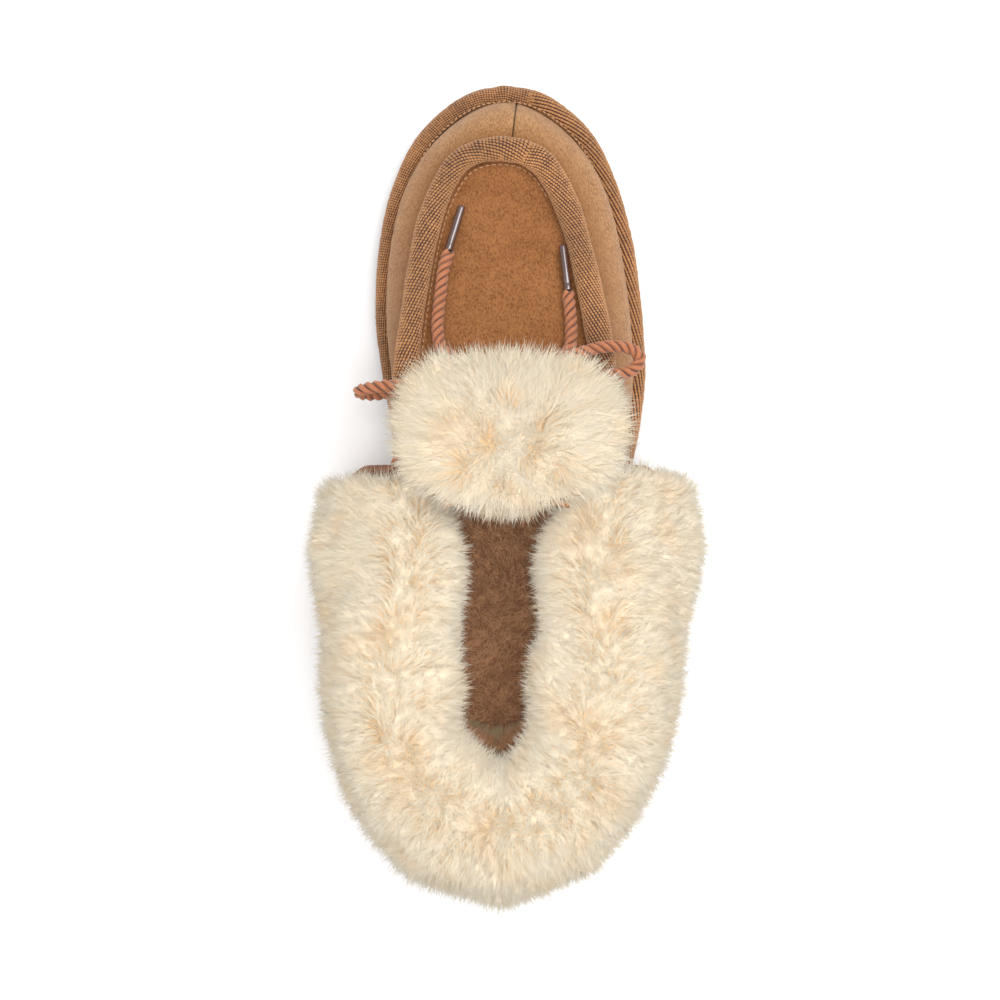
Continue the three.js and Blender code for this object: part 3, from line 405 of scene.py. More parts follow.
def cut_out(name, node, material, levels=2, sharp=38.0, bevel=None, second=None):
    """A finished copy of a CAD node: subdivided between its sharp edges, or with its edges rounded off."""
    shape = merged(node) if second is None else joined(node, second)
    if bevel is None:
        hard = shape.edges.layers.float.new("crease_edge")
        for edge in shape.edges:
            if len(edge.link_faces) != 2 or edge.calc_face_angle(0.0) > math.radians(sharp):
                edge[hard] = 0.85
    mesh = bpy.data.meshes.new(name)
    shape.to_mesh(mesh)
    shape.free()
    mesh.polygons.foreach_set("use_smooth", [True] * len(mesh.polygons))
    mesh.materials.clear()
    mesh.materials.append(material)
    draft = bpy.data.objects.new(name + "_draft", mesh)
    scene.collection.objects.link(draft)
    if bevel is None:
        smooth = draft.modifiers.new("smooth", "SUBSURF")
        smooth.levels = smooth.render_levels = levels
    else:
        edges = draft.modifiers.new("round", "BEVEL")
        edges.width, edges.segments, edges.limit_method = bevel, 2, "ANGLE"
        edges.angle_limit = math.radians(32)
        edges.harden_normals = True
    made = evaluated(draft, name)
    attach(made, "shoe" if not node.startswith("flap") else "tongue_flap")
    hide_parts(*filter(None, (node, second)))
    return made


def speckled(name, dark, pale, size, roughness, height, **sockets):
    """A plain matt stuff with a fine two-tone grain and a bump of the same grain."""
    material, tree, shader = surface(name, Roughness=roughness, **sockets)
    where = put(tree, "ShaderNodeTexCoord").outputs["Object"]
    grain = put(tree, "ShaderNodeTexNoise", {"Vector": where, "Scale": 1 / size, "Detail": 4.0, "Roughness": 0.6})
    patch = put(tree, "ShaderNodeTexNoise", {"Vector": where, "Scale": 0.08 / size, "Detail": 2.0})
    blend = put(tree, "ShaderNodeMath", {0: grain.outputs["Fac"], 1: patch.outputs["Fac"]}, operation="ADD")
    share = put(tree, "ShaderNodeMapRange", {"Value": blend.outputs[0], "From Min": 0.7, "From Max": 1.3})
    tree.links.new(put(tree, "ShaderNodeMix", {0: share.outputs["Result"], 6: dark, 7: pale}, data_type="RGBA").outputs[2],
                   shader.inputs["Base Color"])
    tree.links.new(put(tree, "ShaderNodeBump", {
        "Height": grain.outputs["Fac"], "Strength": 0.6, "Distance": height}).outputs[0], shader.inputs["Normal"])
    return material


rubber = speckled("moulded rubber", dye(62, 40, 28), dye(88, 60, 43), 0.0009, 0.62, 0.0002)
foam = speckled("foam layer", dye(206, 196, 176), dye(232, 224, 206), 0.0014, 0.9, 0.0003)
board = speckled("fibre board", dye(150, 124, 92), dye(184, 158, 122), 0.002, 0.85, 0.0002)
cut_out("outsole_tread", "outsole", rubber)
cut_out("midsole_foam", "foam_midsole", foam, bevel=0.0012)
cut_out("insole_fibre_board", "insole_board", board, bevel=0.0004)
cut_out("heel_stiffener", "heel_counter", board, levels=1)

# ---------------------------------------------------------------- sole tape
# A woven twill tape wrapped over a cord and sewn round the edge of the sole. It
# is joined at the toe: on the outer side its ribs run long and slanting.
# Painted shade: the tape under its raised threads is coloured dark, as it lies in their shade.
TAPE_THREAD, TAPE_GAP_SHADE = dye(174, 123, 76), dye(70, 38, 22)
BEAD_WIDTH, BEAD_HEIGHT = 6.4 * MM, 7.2 * MM

tape_finish, tape_tree, tape_shader = surface("woven twill tape", Roughness=0.78, Sheen_Weight=0.2, Sheen_Roughness=0.45)
tape_raised = put(tape_tree, "ShaderNodeAttribute", attribute_name="raised")
tape_where = put(tape_tree, "ShaderNodeTexCoord").outputs["Object"]
tape_fine = put(tape_tree, "ShaderNodeTexNoise", {"Vector": tape_where, "Scale": 1700.0, "Detail": 2.0})
tape_broad = put(tape_tree, "ShaderNodeTexNoise", {"Vector": tape_where, "Scale": 45.0, "Detail": 2.0})
# Painted shade: the ground between the raised threads takes the dark colour.
tape_mix = put(tape_tree, "ShaderNodeMix", {
    0: tape_raised.outputs["Fac"], 6: TAPE_GAP_SHADE, 7: TAPE_THREAD}, data_type="RGBA")
tape_sum = put(tape_tree, "ShaderNodeMath", {0: tape_fine.outputs["Fac"], 1: tape_broad.outputs["Fac"]}, operation="ADD")
tape_tone = put(tape_tree, "ShaderNodeMapRange", {
    "Value": tape_sum.outputs[0], "From Min": 0.7, "From Max": 1.3, "To Min": 0.7, "To Max": 1.22})
tape_colour = put(tape_tree, "ShaderNodeVectorMath", {
    0: tape_mix.outputs[2], "Scale": tape_tone.outputs["Result"]}, operation="SCALE")
tape_tree.links.new(tape_colour.outputs[0], tape_shader.inputs["Base Color"])

weave = bpy.data.node_groups.new("tape weave", "GeometryNodeTree")
weave_ids = {}
for label, kind in (("Tape", "Geometry"), ("Thread length", "Float"), ("Thread width", "Float"),
                    ("Thread height", "Float"), ("Finish", "Material")):
    weave_ids[label] = weave.interface.new_socket(label, in_out="INPUT", socket_type="NodeSocket" + kind).identifier
weave.interface.new_socket("Woven tape", in_out="OUTPUT", socket_type="NodeSocketGeometry")
weave_in = put(weave, "NodeGroupInput").outputs
face_points = put(weave, "GeometryNodeMeshToPoints", {"Mesh": weave_in["Tape"]}, mode="FACES")
grain_way = put(weave, "GeometryNodeInputNamedAttribute", {"Name": "grain"}, data_type="FLOAT_VECTOR")
out_way = put(weave, "GeometryNodeInputNamedAttribute", {"Name": "outward"}, data_type="FLOAT_VECTOR")
woven_here = put(weave, "GeometryNodeInputNamedAttribute", {"Name": "woven"}, data_type="FLOAT")
stand = put(weave, "FunctionNodeAlignRotationToVector", {"Vector": out_way.outputs["Attribute"]}, axis="Z")
lie = put(weave, "FunctionNodeAlignRotationToVector", {
    "Rotation": stand.outputs["Rotation"], "Vector": grain_way.outputs["Attribute"]}, axis="X", pivot_axis="Z")
bit = put(weave, "GeometryNodeMeshUVSphere", {"Segments": 4, "Rings": 3, "Radius": 1.0})
bit_marked = put(weave, "GeometryNodeStoreNamedAttribute", {
    "Geometry": bit.outputs["Mesh"], "Name": "raised", "Value": 1.0}, data_type="FLOAT", domain="POINT")
uneven = put(weave, "FunctionNodeRandomValue", {2: 0.82, 3: 1.15, "Seed": 4}, data_type="FLOAT")
bit_size = put(weave, "ShaderNodeCombineXYZ", {
    "X": weave_in["Thread length"], "Y": weave_in["Thread width"], "Z": weave_in["Thread height"]})
bit_scale = put(weave, "ShaderNodeVectorMath", {0: bit_size.outputs[0], "Scale": uneven.outputs[1]}, operation="SCALE")
threads = put(weave, "GeometryNodeInstanceOnPoints", {
    "Points": face_points.outputs["Points"], "Selection": woven_here.outputs["Attribute"],
    "Instance": bit_marked.outputs["Geometry"], "Rotation": lie.outputs["Rotation"], "Scale": bit_scale.outputs[0]})
real_threads = put(weave, "GeometryNodeRealizeInstances", {"Geometry": threads.outputs["Instances"]})
tape_whole = put(weave, "GeometryNodeJoinGeometry")
weave.links.new(real_threads.outputs["Geometry"], tape_whole.inputs[0])
weave.links.new(weave_in["Tape"], tape_whole.inputs[0])
tape_smooth = put(weave, "GeometryNodeSetShadeSmooth", {"Geometry": tape_whole.outputs[0], "Shade Smooth": True})
put(weave, "NodeGroupOutput", {0: put(weave, "GeometryNodeSetMaterial", {
    "Geometry": tape_smooth.outputs[0], "Material": weave_in["Finish"]}).outputs[0]})


def grown(piece, name, tree, ids, **values):
    """Runs a node tree on a draft piece, with inputs named by their sockets, and keeps the plain mesh."""
    nodes = piece.modifiers.new("nodes", "NODES")
    nodes.node_group = tree
    for label, value in values.items():
        nodes[ids[label.replace("_", " ")]] = value
    return evaluated(piece, name)


def woven_tape(name, line, width, height, rows, pitch, slant, thread, flat=2.2, up=(0, 0, 1), tapered=(0, 0)):
    """A rounded tape along a line, whose faces are the cells of its weave, with a raised thread on each."""
    line = even(line, pitch)
    ahead, across, over = carried(line, up)
    along = np.arange(len(line)) * pitch
    rng = np.random.default_rng(len(name))
    girth = math.pi * (width + height) / 2
    turn = (np.arange(rows)[None, :] / rows + (slant * along / girth)[:, None]) * 2 * math.pi
    c, s = np.cos(turn), np.sin(turn)
    size = (np.abs(c) ** flat + np.abs(s) ** flat) ** (-1 / flat)
    lump = 1 + 0.035 * np.sin(along / (9 * MM))[:, None] + 0.02 * np.sin(along / (3.7 * MM))[:, None]
    lump = lump + 0.012 * rng.standard_normal((len(line), 1))
    for end, long in enumerate(tapered):
        if long:
            rise = np.clip((along if end == 0 else along[-1] - along) / long, 0, 1)
            lump = lump * (0.72 + 0.28 * np.sqrt(1 - (1 - rise) ** 2))[:, None]
    rings = (line[:, None] + across[:, None] * (-c * size * lump * width / 2)[..., None]
             + over[:, None] * (s * size * lump * height / 2)[..., None])
    # Walking across by -cos and over by sin goes round the other way, so each ring is turned back.
    rings = rings[:, ::-1]
    points, faces = skinned(rings)
    draft = new_piece(name + "_draft", points, faces, tape_finish)
    count, around = rings.shape[:2]
    cells = (count - 1) * around
    grain = np.zeros((len(faces), 3))
    grain[:cells] = (rings[1:] - rings[:-1]).reshape(-1, 3)
    outward = np.zeros((len(faces), 3))
    draft.data.polygons.foreach_get("normal", flat_normals := np.zeros(len(faces) * 3, np.float32))
    outward[:] = flat_normals.reshape(-1, 3)
    mark(draft, "grain", grain, "FACE")
    mark(draft, "outward", outward, "FACE")
    mark(draft, "woven", (np.arange(len(faces)) < cells).astype(np.float32), "FACE")
    long, wide, high = thread
    return grown(draft, name, weave, weave_ids, Thread_length=long * MM, Thread_width=wide * MM,
                 Thread_height=high * MM, Finish=tape_finish)


bead_inner = cut_line("sole_binding", (0.0, 0.0), np.linspace(85, 271, 110))
bead_outer = cut_line("sole_binding", (0.0, 0.0), np.linspace(87, -91, 110))
TOE_FLAT, TOE_SPAN = 1.1 * MM, 15 * MM
for half in (bead_inner, bead_outer):
    half[:, 1] -= TOE_FLAT * np.clip(1 - (half[:, 0] / TOE_SPAN) ** 2, 0, 1) ** 2 * (half[:, 1] > 0)
sole_tape_medial = woven_tape("sole_tape_medial", bead_inner, BEAD_WIDTH, BEAD_HEIGHT, 24, 0.98 * MM, 0.12,
                              (0.74, 0.5, 0.22))
sole_tape_lateral = woven_tape("sole_tape_lateral", bead_outer, BEAD_WIDTH * 1.02, BEAD_HEIGHT * 1.02, 16, 1.15 * MM, -0.26,
                               (1.5, 0.56, 0.45), tapered=(5 * MM, 0))
for piece in (sole_tape_medial, sole_tape_lateral):
    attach(piece, "shoe")
    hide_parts("sole_binding")

# ---------------------------------------------------------------- walls
# Two suede side walls, cut from hide with its nap outwards. They are joined at a
# short seam over the toes and at the centre back, and lasted under the bead.
SUEDE_PALE, SUEDE_MID, SUEDE_DEEP = dye(188, 143, 98), dye(176, 130, 86), dye(122, 78, 43)

nap = bpy.data.node_groups.new("suede nap", "ShaderNodeTree")
for label, kind in (("Place", "Vector"), ("Pale", "Color"), ("Mid", "Color"), ("Deep", "Color"), ("Fibre", "Float"), ("Cloud", "Float")):
    nap.interface.new_socket(label, in_out="INPUT", socket_type="NodeSocket" + kind)
for label, kind in (("Colour", "Color"), ("Height", "Float")):
    nap.interface.new_socket(label, in_out="OUTPUT", socket_type="NodeSocket" + kind)
nap_in = put(nap, "NodeGroupInput").outputs
brushed = put(nap, "ShaderNodeMapping", {
    "Vector": nap_in["Place"], "Rotation": (0.0, 0.0, 0.7), "Scale": (1.0, 0.65, 0.65)})
fibre_scale = put(nap, "ShaderNodeMath", {0: 1.0, 1: nap_in["Fibre"]}, operation="DIVIDE")
cloud_scale = put(nap, "ShaderNodeMath", {0: 1.0, 1: nap_in["Cloud"]}, operation="DIVIDE")
fibres = put(nap, "ShaderNodeTexNoise", {
    "Vector": brushed.outputs[0], "Scale": fibre_scale.outputs[0], "Detail": 4.0, "Roughness": 0.65})
mottle = put(nap, "ShaderNodeTexNoise", {
    "Vector": nap_in["Place"], "Scale": put(nap, "ShaderNodeMath", {
        0: cloud_scale.outputs[0], 1: 6.0}, operation="MULTIPLY").outputs[0], "Detail": 3.0})
clouds = put(nap, "ShaderNodeTexNoise", {
    "Vector": nap_in["Place"], "Scale": cloud_scale.outputs[0], "Detail": 2.0, "Distortion": 0.4})
cloud_share = put(nap, "ShaderNodeMapRange", {"Value": clouds.outputs["Fac"], "From Min": 0.32, "From Max": 0.68})
ground = put(nap, "ShaderNodeMix", {0: cloud_share.outputs["Result"], 6: nap_in["Mid"], 7: nap_in["Pale"]}, data_type="RGBA")
fibre_sum = put(nap, "ShaderNodeMath", {
    0: fibres.outputs["Fac"], 1: put(nap, "ShaderNodeMath", {
        0: mottle.outputs["Fac"], 1: 0.25}, operation="MULTIPLY").outputs[0]}, operation="ADD")
fibre_share = put(nap, "ShaderNodeMapRange", {
    "Value": fibre_sum.outputs[0], "From Min": 0.72, "From Max": 0.46, "To Max": 0.8})
nap_mix = put(nap, "ShaderNodeMix", {
    0: fibre_share.outputs["Result"], 6: ground.outputs[2], 7: nap_in["Deep"]}, data_type="RGBA")
put(nap, "NodeGroupOutput", {"Colour": nap_mix.outputs[2], "Height": fibre_sum.outputs[0]})


def suede(name, pale, mid, deep, fibre=0.00065, cloud=0.03):
    material, tree, shader = surface(name, Roughness=0.95, Sheen_Weight=0.12, Sheen_Roughness=0.5,
                                     Specular_IOR_Level=0.15)
    hide = put(tree, "ShaderNodeGroup", node_tree=nap)
    for label, value in (("Place", put(tree, "ShaderNodeTexCoord").outputs["Object"]), ("Pale", pale), ("Mid", mid),
                         ("Deep", deep), ("Fibre", fibre), ("Cloud", cloud)):
        if isinstance(value, bpy.types.NodeSocket):
            tree.links.new(value, hide.inputs[label])
        else:
            hide.inputs[label].default_value = value
    # Painted shade: where a piece carries the mask, its nap is mixed towards the deep colour beside the ridge.
    painted_ridge_shade_mask = put(tree, "ShaderNodeAttribute", attribute_name="painted_ridge_shade").outputs["Fac"]
    painted_ridge_shade = put(tree, "ShaderNodeMix", {0: put(tree, "ShaderNodeMath", {0: painted_ridge_shade_mask, 1: 0.8}, operation="MULTIPLY").outputs[0],
                                         6: hide.outputs["Colour"], 7: deep}, data_type="RGBA")
    # Painted shade: the toe slit is coloured dark brown.
    painted_slit_shade_mask = put(tree, "ShaderNodeAttribute", attribute_name="seam").outputs["Fac"]
    tree.links.new(put(tree, "ShaderNodeMix", {0: painted_slit_shade_mask, 6: painted_ridge_shade.outputs[2], 7: dye(58, 34, 20)},
                       data_type="RGBA").outputs[2], shader.inputs["Base Color"])
    tree.links.new(put(tree, "ShaderNodeBump", {
        "Height": hide.outputs["Height"], "Strength": 0.8, "Distance": 0.0005}).outputs[0], shader.inputs["Normal"])
    return material


def arrays(piece):
    """A piece's points, their outward directions and its edges."""
    mesh = piece.data
    place, outward = np.zeros(len(mesh.vertices) * 3), np.zeros(len(mesh.vertices) * 3, np.float32)
    edges = np.zeros(len(mesh.edges) * 2, int)
    mesh.vertices.foreach_get("co", place)
    mesh.vertex_normals.foreach_get("vector", outward)
    mesh.edges.foreach_get("vertices", edges)
    return place.reshape(-1, 3), outward.reshape(-1, 3).astype(float), edges.reshape(-1, 2)


def step_up(value, low, high):
    t = np.clip((value - low) / (high - low), 0, 1)
    return t * t * (3 - 2 * t)


wall_suede = suede("suede of the walls", SUEDE_PALE, SUEDE_MID, SUEDE_DEEP)
walls = cut_out("wall_hide", "wall_medial", wall_suede, second="wall_lateral")
WALL_SWELL, SEAM_DEPTH, SEAM_WIDE = 2.5 * MM, 1.1 * MM, 0.5 * MM
place, outward, _ = arrays(walls)
level = step_up(place[:, 2], 18 * MM, 27 * MM) * (1 - step_up(place[:, 2], 32 * MM, 52 * MM))
swell = WALL_SWELL * (1 - 1.25 * step_up(place[:, 1], 85 * MM, 122 * MM)) * level
sideways = outward * np.array([1, 1, 0])
outer_face = (sideways * place).sum(1) > 0
place = place + sideways * (swell * outer_face)[:, None]
walls.data.vertices.foreach_set("co", place.ravel())
walls.data.update()

# The toe seam: a short slit, pressed in where the two hides meet over the toes, with painted shade along it.
toe_shape = bmesh.new()
toe_shape.from_mesh(walls.data)
seam_through, seam_across = Vector((3.9, 121, 0)) * MM, Vector((1, -0.11, 0)).normalized()
for shift in (-SEAM_WIDE, 0, SEAM_WIDE):
    near_toe = [face for face in toe_shape.faces if face.calc_center_median().y > 0.1]
    geometry = near_toe + list({e for f in near_toe for e in f.edges}) + list({v for f in near_toe for v in f.verts})
    bmesh.ops.bisect_plane(toe_shape, geom=geometry, dist=1e-6, plane_co=seam_through + seam_across * shift, plane_no=seam_across)
toe_shape.normal_update()
slit = [v for v in toe_shape.verts if v.co.y > 0.1 and abs((v.co - seam_through).dot(seam_across)) < 2e-6]
for vert in slit:
    vert.co -= vert.normal * SEAM_DEPTH
toe_shape.to_mesh(walls.data)
toe_shape.free()
place, _, _ = arrays(walls)
off_seam = np.abs((place - np.array(seam_through)) @ np.array(seam_across))
# Painted shade in the toe slit, strongest on its middle line.
mark(walls, "seam", np.where((place[:, 1] > 0.1), 1 - step_up(off_seam, 0.0, SEAM_WIDE * 1.1), 0))
walls.data.polygons.foreach_set("use_smooth", [True] * len(walls.data.polygons))
cut_out("back_strap_hide", "back_strap", wall_suede, levels=2)

stitch_finish, stitch_tree, stitch_shader = surface("waxed sewing thread", Roughness=0.6, Sheen_Weight=0.2)
stitch_tree.links.new(put(stitch_tree, "ShaderNodeMix", {
    0: put(stitch_tree, "ShaderNodeTexNoise", {
        "Vector": put(stitch_tree, "ShaderNodeTexCoord").outputs["Object"], "Scale": 1500.0, "Detail": 2.0}).outputs["Fac"],
    6: dye(150, 100, 60), 7: dye(206, 158, 112)}, data_type="RGBA").outputs[2], stitch_shader.inputs["Base Color"])
sewing = bpy.data.node_groups.new("stitch row", "GeometryNodeTree")
sewing_ids = {}
for label, kind in (("Row", "Geometry"), ("Pitch", "Float"), ("Length", "Float"), ("Thickness", "Float"),
                    ("Sway", "Float"), ("Finish", "Material")):
    sewing_ids[label] = sewing.interface.new_socket(label, in_out="INPUT", socket_type="NodeSocket" + kind).identifier
sewing.interface.new_socket("Stitches", in_out="OUTPUT", socket_type="NodeSocketGeometry")
sewing_in = put(sewing, "NodeGroupInput").outputs
stepped = put(sewing, "GeometryNodeResampleCurve", {
    "Curve": put(sewing, "GeometryNodeMeshToCurve", {"Mesh": sewing_in["Row"]}).outputs[0],
    "Length": sewing_in["Pitch"]}, mode="LENGTH")
sway = put(sewing, "ShaderNodeVectorMath", {0: put(sewing, "FunctionNodeRandomValue", {
    0: (-1.0, -1.0, -0.3), 1: (1.0, 1.0, 0.3), "Seed": 3}, data_type="FLOAT_VECTOR").outputs[0],
    "Scale": sewing_in["Sway"]}, operation="SCALE")
sewn_way = put(sewing, "ShaderNodeVectorMath", {
    0: put(sewing, "GeometryNodeInputTangent").outputs[0], 1: sway.outputs[0]}, operation="ADD")
thread_bit = put(sewing, "GeometryNodeMeshUVSphere", {"Segments": 7, "Rings": 5, "Radius": 0.5})
thread_bits = put(sewing, "GeometryNodeInstanceOnPoints", {
    "Points": stepped.outputs[0], "Instance": thread_bit.outputs["Mesh"],
    "Rotation": put(sewing, "FunctionNodeAlignRotationToVector", {"Vector": sewn_way.outputs[0]}, axis="X").outputs[0],
    "Scale": put(sewing, "ShaderNodeCombineXYZ", {
        "X": sewing_in["Length"], "Y": sewing_in["Thickness"], "Z": sewing_in["Thickness"]}).outputs[0]})
put(sewing, "NodeGroupOutput", {0: put(sewing, "GeometryNodeSetMaterial", {
    "Geometry": put(sewing, "GeometryNodeSetShadeSmooth", {"Geometry": put(sewing, "GeometryNodeRealizeInstances", {
        "Geometry": thread_bits.outputs[0]}).outputs[0], "Shade Smooth": True}).outputs[0],
    "Material": sewing_in["Finish"]}).outputs[0]})


def laid_on(piece, line, lift):
    """A line brought down to a piece's skin, and lifted off it a little."""
    shape = bmesh.new()
    shape.from_mesh(piece.data)
    skin = BVHTree.FromBMesh(shape)
    shape.free()
    found = [skin.find_nearest(Vector(point)) for point in line]
    return relaxed_line(np.array([near + facing * lift for near, facing, _, _ in found]), 3)


def relaxed_line(line, rounds):
    for _ in range(rounds):
        line[1:-1] = 0.5 * line[1:-1] + 0.25 * (line[:-2] + line[2:])
    return line


def stitched(name, line, pitch, long, thick, sway=0.15):
    """A row of stitches along a line, as one piece of thread that shows in short bits."""
    mesh = bpy.data.meshes.new(name + "_draft")
    mesh.from_pydata(line.tolist(), [(i, i + 1) for i in range(len(line) - 1)], [])
    draft = bpy.data.objects.new(name + "_draft", mesh)
    scene.collection.objects.link(draft)
    piece = grown(draft, name, sewing, sewing_ids, Pitch=pitch, Length=long, Thickness=thick, Sway=sway, Finish=stitch_finish)
    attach(piece, "shoe")
    return piece


toe_bead = np.vstack([bead_inner[::-1], bead_outer[3:]])
toe_bead = even(toe_bead[toe_bead[:, 1] > 0.02], 2 * MM)
_, bead_across, _ = carried(toe_bead, (0, 0, 1))
inner_way = -np.sign((bead_across[:, :2] * toe_bead[:, :2]).sum(1))[:, None] * bead_across
bead_row = toe_bead + inner_way * 2.9 * MM + np.array([0, 0, 3.3]) * MM
bead_stitches = stitched("bead_stitches", bead_row, 2.0 * MM, 1.8 * MM, 0.8 * MM, sway=0.45)

# ---------------------------------------------------------------- plug
# The suede apron over the toes, from a darker and redder part of the hide. Its
# edge is turned up and bound by a raised ridge of woven tape.
RIDGE_WIDTH, RIDGE_HEIGHT = 8.6 * MM, 6.4 * MM
plug_suede = suede("suede of the plug", dye(160, 108, 66), dye(148, 97, 57), dye(98, 57, 29), cloud=0.024)
cut_out("plug_hide", "plug", plug_suede)

ridge_line = cut_line("plug_binding", (0.0, 0.030), np.linspace(216, -36, 120))
ridge_join = int(np.argmin(np.linalg.norm(ridge_line[:, :2] - np.array([0.0125, 0.0985]), axis=1)))
ridge_tape_medial = woven_tape("ridge_tape_medial", ridge_line[:ridge_join + 1], RIDGE_WIDTH, RIDGE_HEIGHT, 22, 1.2 * MM, 0.3,
                               (0.9, 0.6, 0.32))
ridge_tape_lateral = woven_tape("ridge_tape_lateral", ridge_line[ridge_join - 3:], RIDGE_WIDTH * 1.06, RIDGE_HEIGHT * 1.1, 24,
                                1.05 * MM, -0.34, (0.82, 0.55, 0.3), tapered=(3 * MM, 0))
for piece in (ridge_tape_medial, ridge_tape_lateral):
    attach(piece, "shoe")
    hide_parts("plug_binding")

_, ridge_across, _ = carried(ridge_line, (0, 0, 1))
plug_middle = np.array([0.0, 0.03])
plug_way = -np.sign((ridge_across[:, :2] * (ridge_line[:, :2] - plug_middle)).sum(1))[:, None] * ridge_across
seam_row = ridge_line[:ridge_join + 4] + plug_way[:ridge_join + 4] * RIDGE_WIDTH * 0.52
ridge_stitches = stitched("ridge_stitches", laid_on(bpy.data.objects["plug_hide"], seam_row, 0.2 * MM), 2.4 * MM, 2.1 * MM, 0.62 * MM)

# Painted shade: the nap is coloured darker in the hollow beside the ridge, where shade falls, and stays pale over the
# swell of the walls.
place, _, _ = arrays(walls)
from_ridge = np.min(np.linalg.norm(place[:, None, :2] - ridge_line[None, ::2, :2], axis=2), axis=1)
mark(walls, "painted_ridge_shade", 0.75 * (1 - step_up(from_ridge, 4 * MM, 13 * MM)))

# ---------------------------------------------------------------- shaft
# The twin-face sheepskin of the shaft, whose suede side is inside the fold of the
# cuff. Its front edges are bound with tape, and three keepers hold the lace to it.
shaft_suede = suede("suede of the shaft", SUEDE_PALE, SUEDE_MID, SUEDE_DEEP, cloud=0.04)
binding_weave = speckled("narrow binding tape", dye(88, 50, 30), dye(140, 92, 60), 0.0008, 0.8, 0.0004)


def corner_turned(piece):
    """The front corners of the turned-down hide curl back under the wool."""
    place, _, _ = arrays(piece)
    place[:, 1] -= 9 * MM * step_up(np.abs(place[:, 0]), 50 * MM, 66 * MM) * step_up(place[:, 1], -0.040, -0.018)
    piece.data.vertices.foreach_set("co", place.ravel())
    piece.data.update()


corner_turned(cut_out("shaft_hide", "shaft_medial", shaft_suede, levels=2, second="shaft_lateral"))
for side in ("medial", "lateral"):
    corner_turned(cut_out(f"edge_tape_{side}", f"edge_binding_{side}", binding_weave))
for where in ("medial", "lateral", "heel"):
    cut_out(f"lace_keeper_{where}", f"keeper_{where}", shaft_suede)
cut_out("tongue_hide", "tongue", shaft_suede)
cut_out("flap_suede", "flap_hide", shaft_suede)

# ---------------------------------------------------------------- wool
# The wool side of the sheepskin: a dense crimped undercoat, and over it some tens
# of thousands of bent, tapered locks that lean with their weight and cling in tufts.
# The roots' darker, warmer colour is partly the wool's own and partly painted shade from the locks over them.
CREAM_ROOT, CREAM_BODY, CREAM_TIP = dye(226, 190, 142), dye(222, 208, 183), dye(220, 212, 194)
CREAM_DRAW, CREAM_LENGTH, CREAM_WIDTH = 4.4 * MM, 7.4 * MM, 0.3 * MM

fleece_shade = bpy.data.node_groups.new("fleece shade", "ShaderNodeTree")
for label, kind in (("Root", "Color"), ("Body", "Color"), ("Tip", "Color"), ("Unevenness", "Float")):
    fleece_shade.interface.new_socket(label, in_out="INPUT", socket_type="NodeSocket" + kind)
fleece_shade.interface.new_socket("Colour", in_out="OUTPUT", socket_type="NodeSocketColor")
shade_in = put(fleece_shade, "NodeGroupInput").outputs
along_lock = put(fleece_shade, "ShaderNodeAttribute", attribute_name="along").outputs["Fac"]
lock_tint = put(fleece_shade, "ShaderNodeAttribute", attribute_name="tint").outputs["Fac"]
lock_warmth = put(fleece_shade, "ShaderNodeAttribute", attribute_name="warmth").outputs["Fac"]
# Painted shade, in part: each lock is darker and warmer at its root, where the locks over it shade it, and paler to its
# tip.
low_share = put(fleece_shade, "ShaderNodeMapRange", {"Value": along_lock, "From Min": 0.0, "From Max": 0.55}, interpolation_type="SMOOTHSTEP")
high_share = put(fleece_shade, "ShaderNodeMapRange", {"Value": along_lock, "From Min": 0.5, "From Max": 1.0}, interpolation_type="SMOOTHSTEP")
low_mix = put(fleece_shade, "ShaderNodeMix", {0: low_share.outputs["Result"], 6: shade_in["Root"], 7: shade_in["Body"]}, data_type="RGBA")
high_mix = put(fleece_shade, "ShaderNodeMix", {0: high_share.outputs["Result"], 6: low_mix.outputs[2], 7: shade_in["Tip"]}, data_type="RGBA")
warm_share = put(fleece_shade, "ShaderNodeMath", {0: lock_warmth, 1: 0.4}, operation="MULTIPLY")
warm_mix = put(fleece_shade, "ShaderNodeMix", {0: warm_share.outputs[0], 6: high_mix.outputs[2], 7: shade_in["Root"]}, data_type="RGBA")
tint_off = put(fleece_shade, "ShaderNodeMath", {0: lock_tint, 1: 0.5}, operation="SUBTRACT")
tint_tone = put(fleece_shade, "ShaderNodeMath", {0: tint_off.outputs[0], 1: shade_in["Unevenness"], 2: 1.0}, operation="MULTIPLY_ADD")
tinted = put(fleece_shade, "ShaderNodeVectorMath", {0: warm_mix.outputs[2], "Scale": tint_tone.outputs[0]}, operation="SCALE")
put(fleece_shade, "NodeGroupOutput", {"Colour": tinted.outputs[0]})


def fleece(name, root, body, tip, uneven=0.07, soft=0.82):
    """The finish of locks: paler to their tips, and lit mostly as the fleece that they lie in, not as flat ribbons."""
    material, tree, shader = surface(name, Roughness=0.75, Sheen_Weight=0.2, Sheen_Roughness=0.4, Specular_IOR_Level=0.2,
                                     Subsurface_Weight=0.3, Subsurface_Scale=2 * MM)
    shader.subsurface_method = "BURLEY"
    shader.inputs["Subsurface Radius"].default_value = (1.0, 0.9, 0.8)
    shade = put(tree, "ShaderNodeGroup", node_tree=fleece_shade)
    for label, value in (("Root", root), ("Body", body), ("Tip", tip), ("Unevenness", uneven)):
        shade.inputs[label].default_value = value
    tree.links.new(shade.outputs["Colour"], shader.inputs["Base Color"])
    lie = put(tree, "ShaderNodeVectorTransform", {
        0: put(tree, "ShaderNodeAttribute", attribute_name="lie").outputs["Vector"]},
        vector_type="NORMAL", convert_from="OBJECT", convert_to="WORLD")
    own = put(tree, "ShaderNodeNewGeometry").outputs["Normal"]
    tree.links.new(put(tree, "ShaderNodeVectorMath", {0: put(tree, "ShaderNodeMix", {
        0: soft, 4: own, 5: lie.outputs[0]}, data_type="VECTOR").outputs[1]}, operation="NORMALIZE").outputs[0],
        shader.inputs["Normal"])
    return material


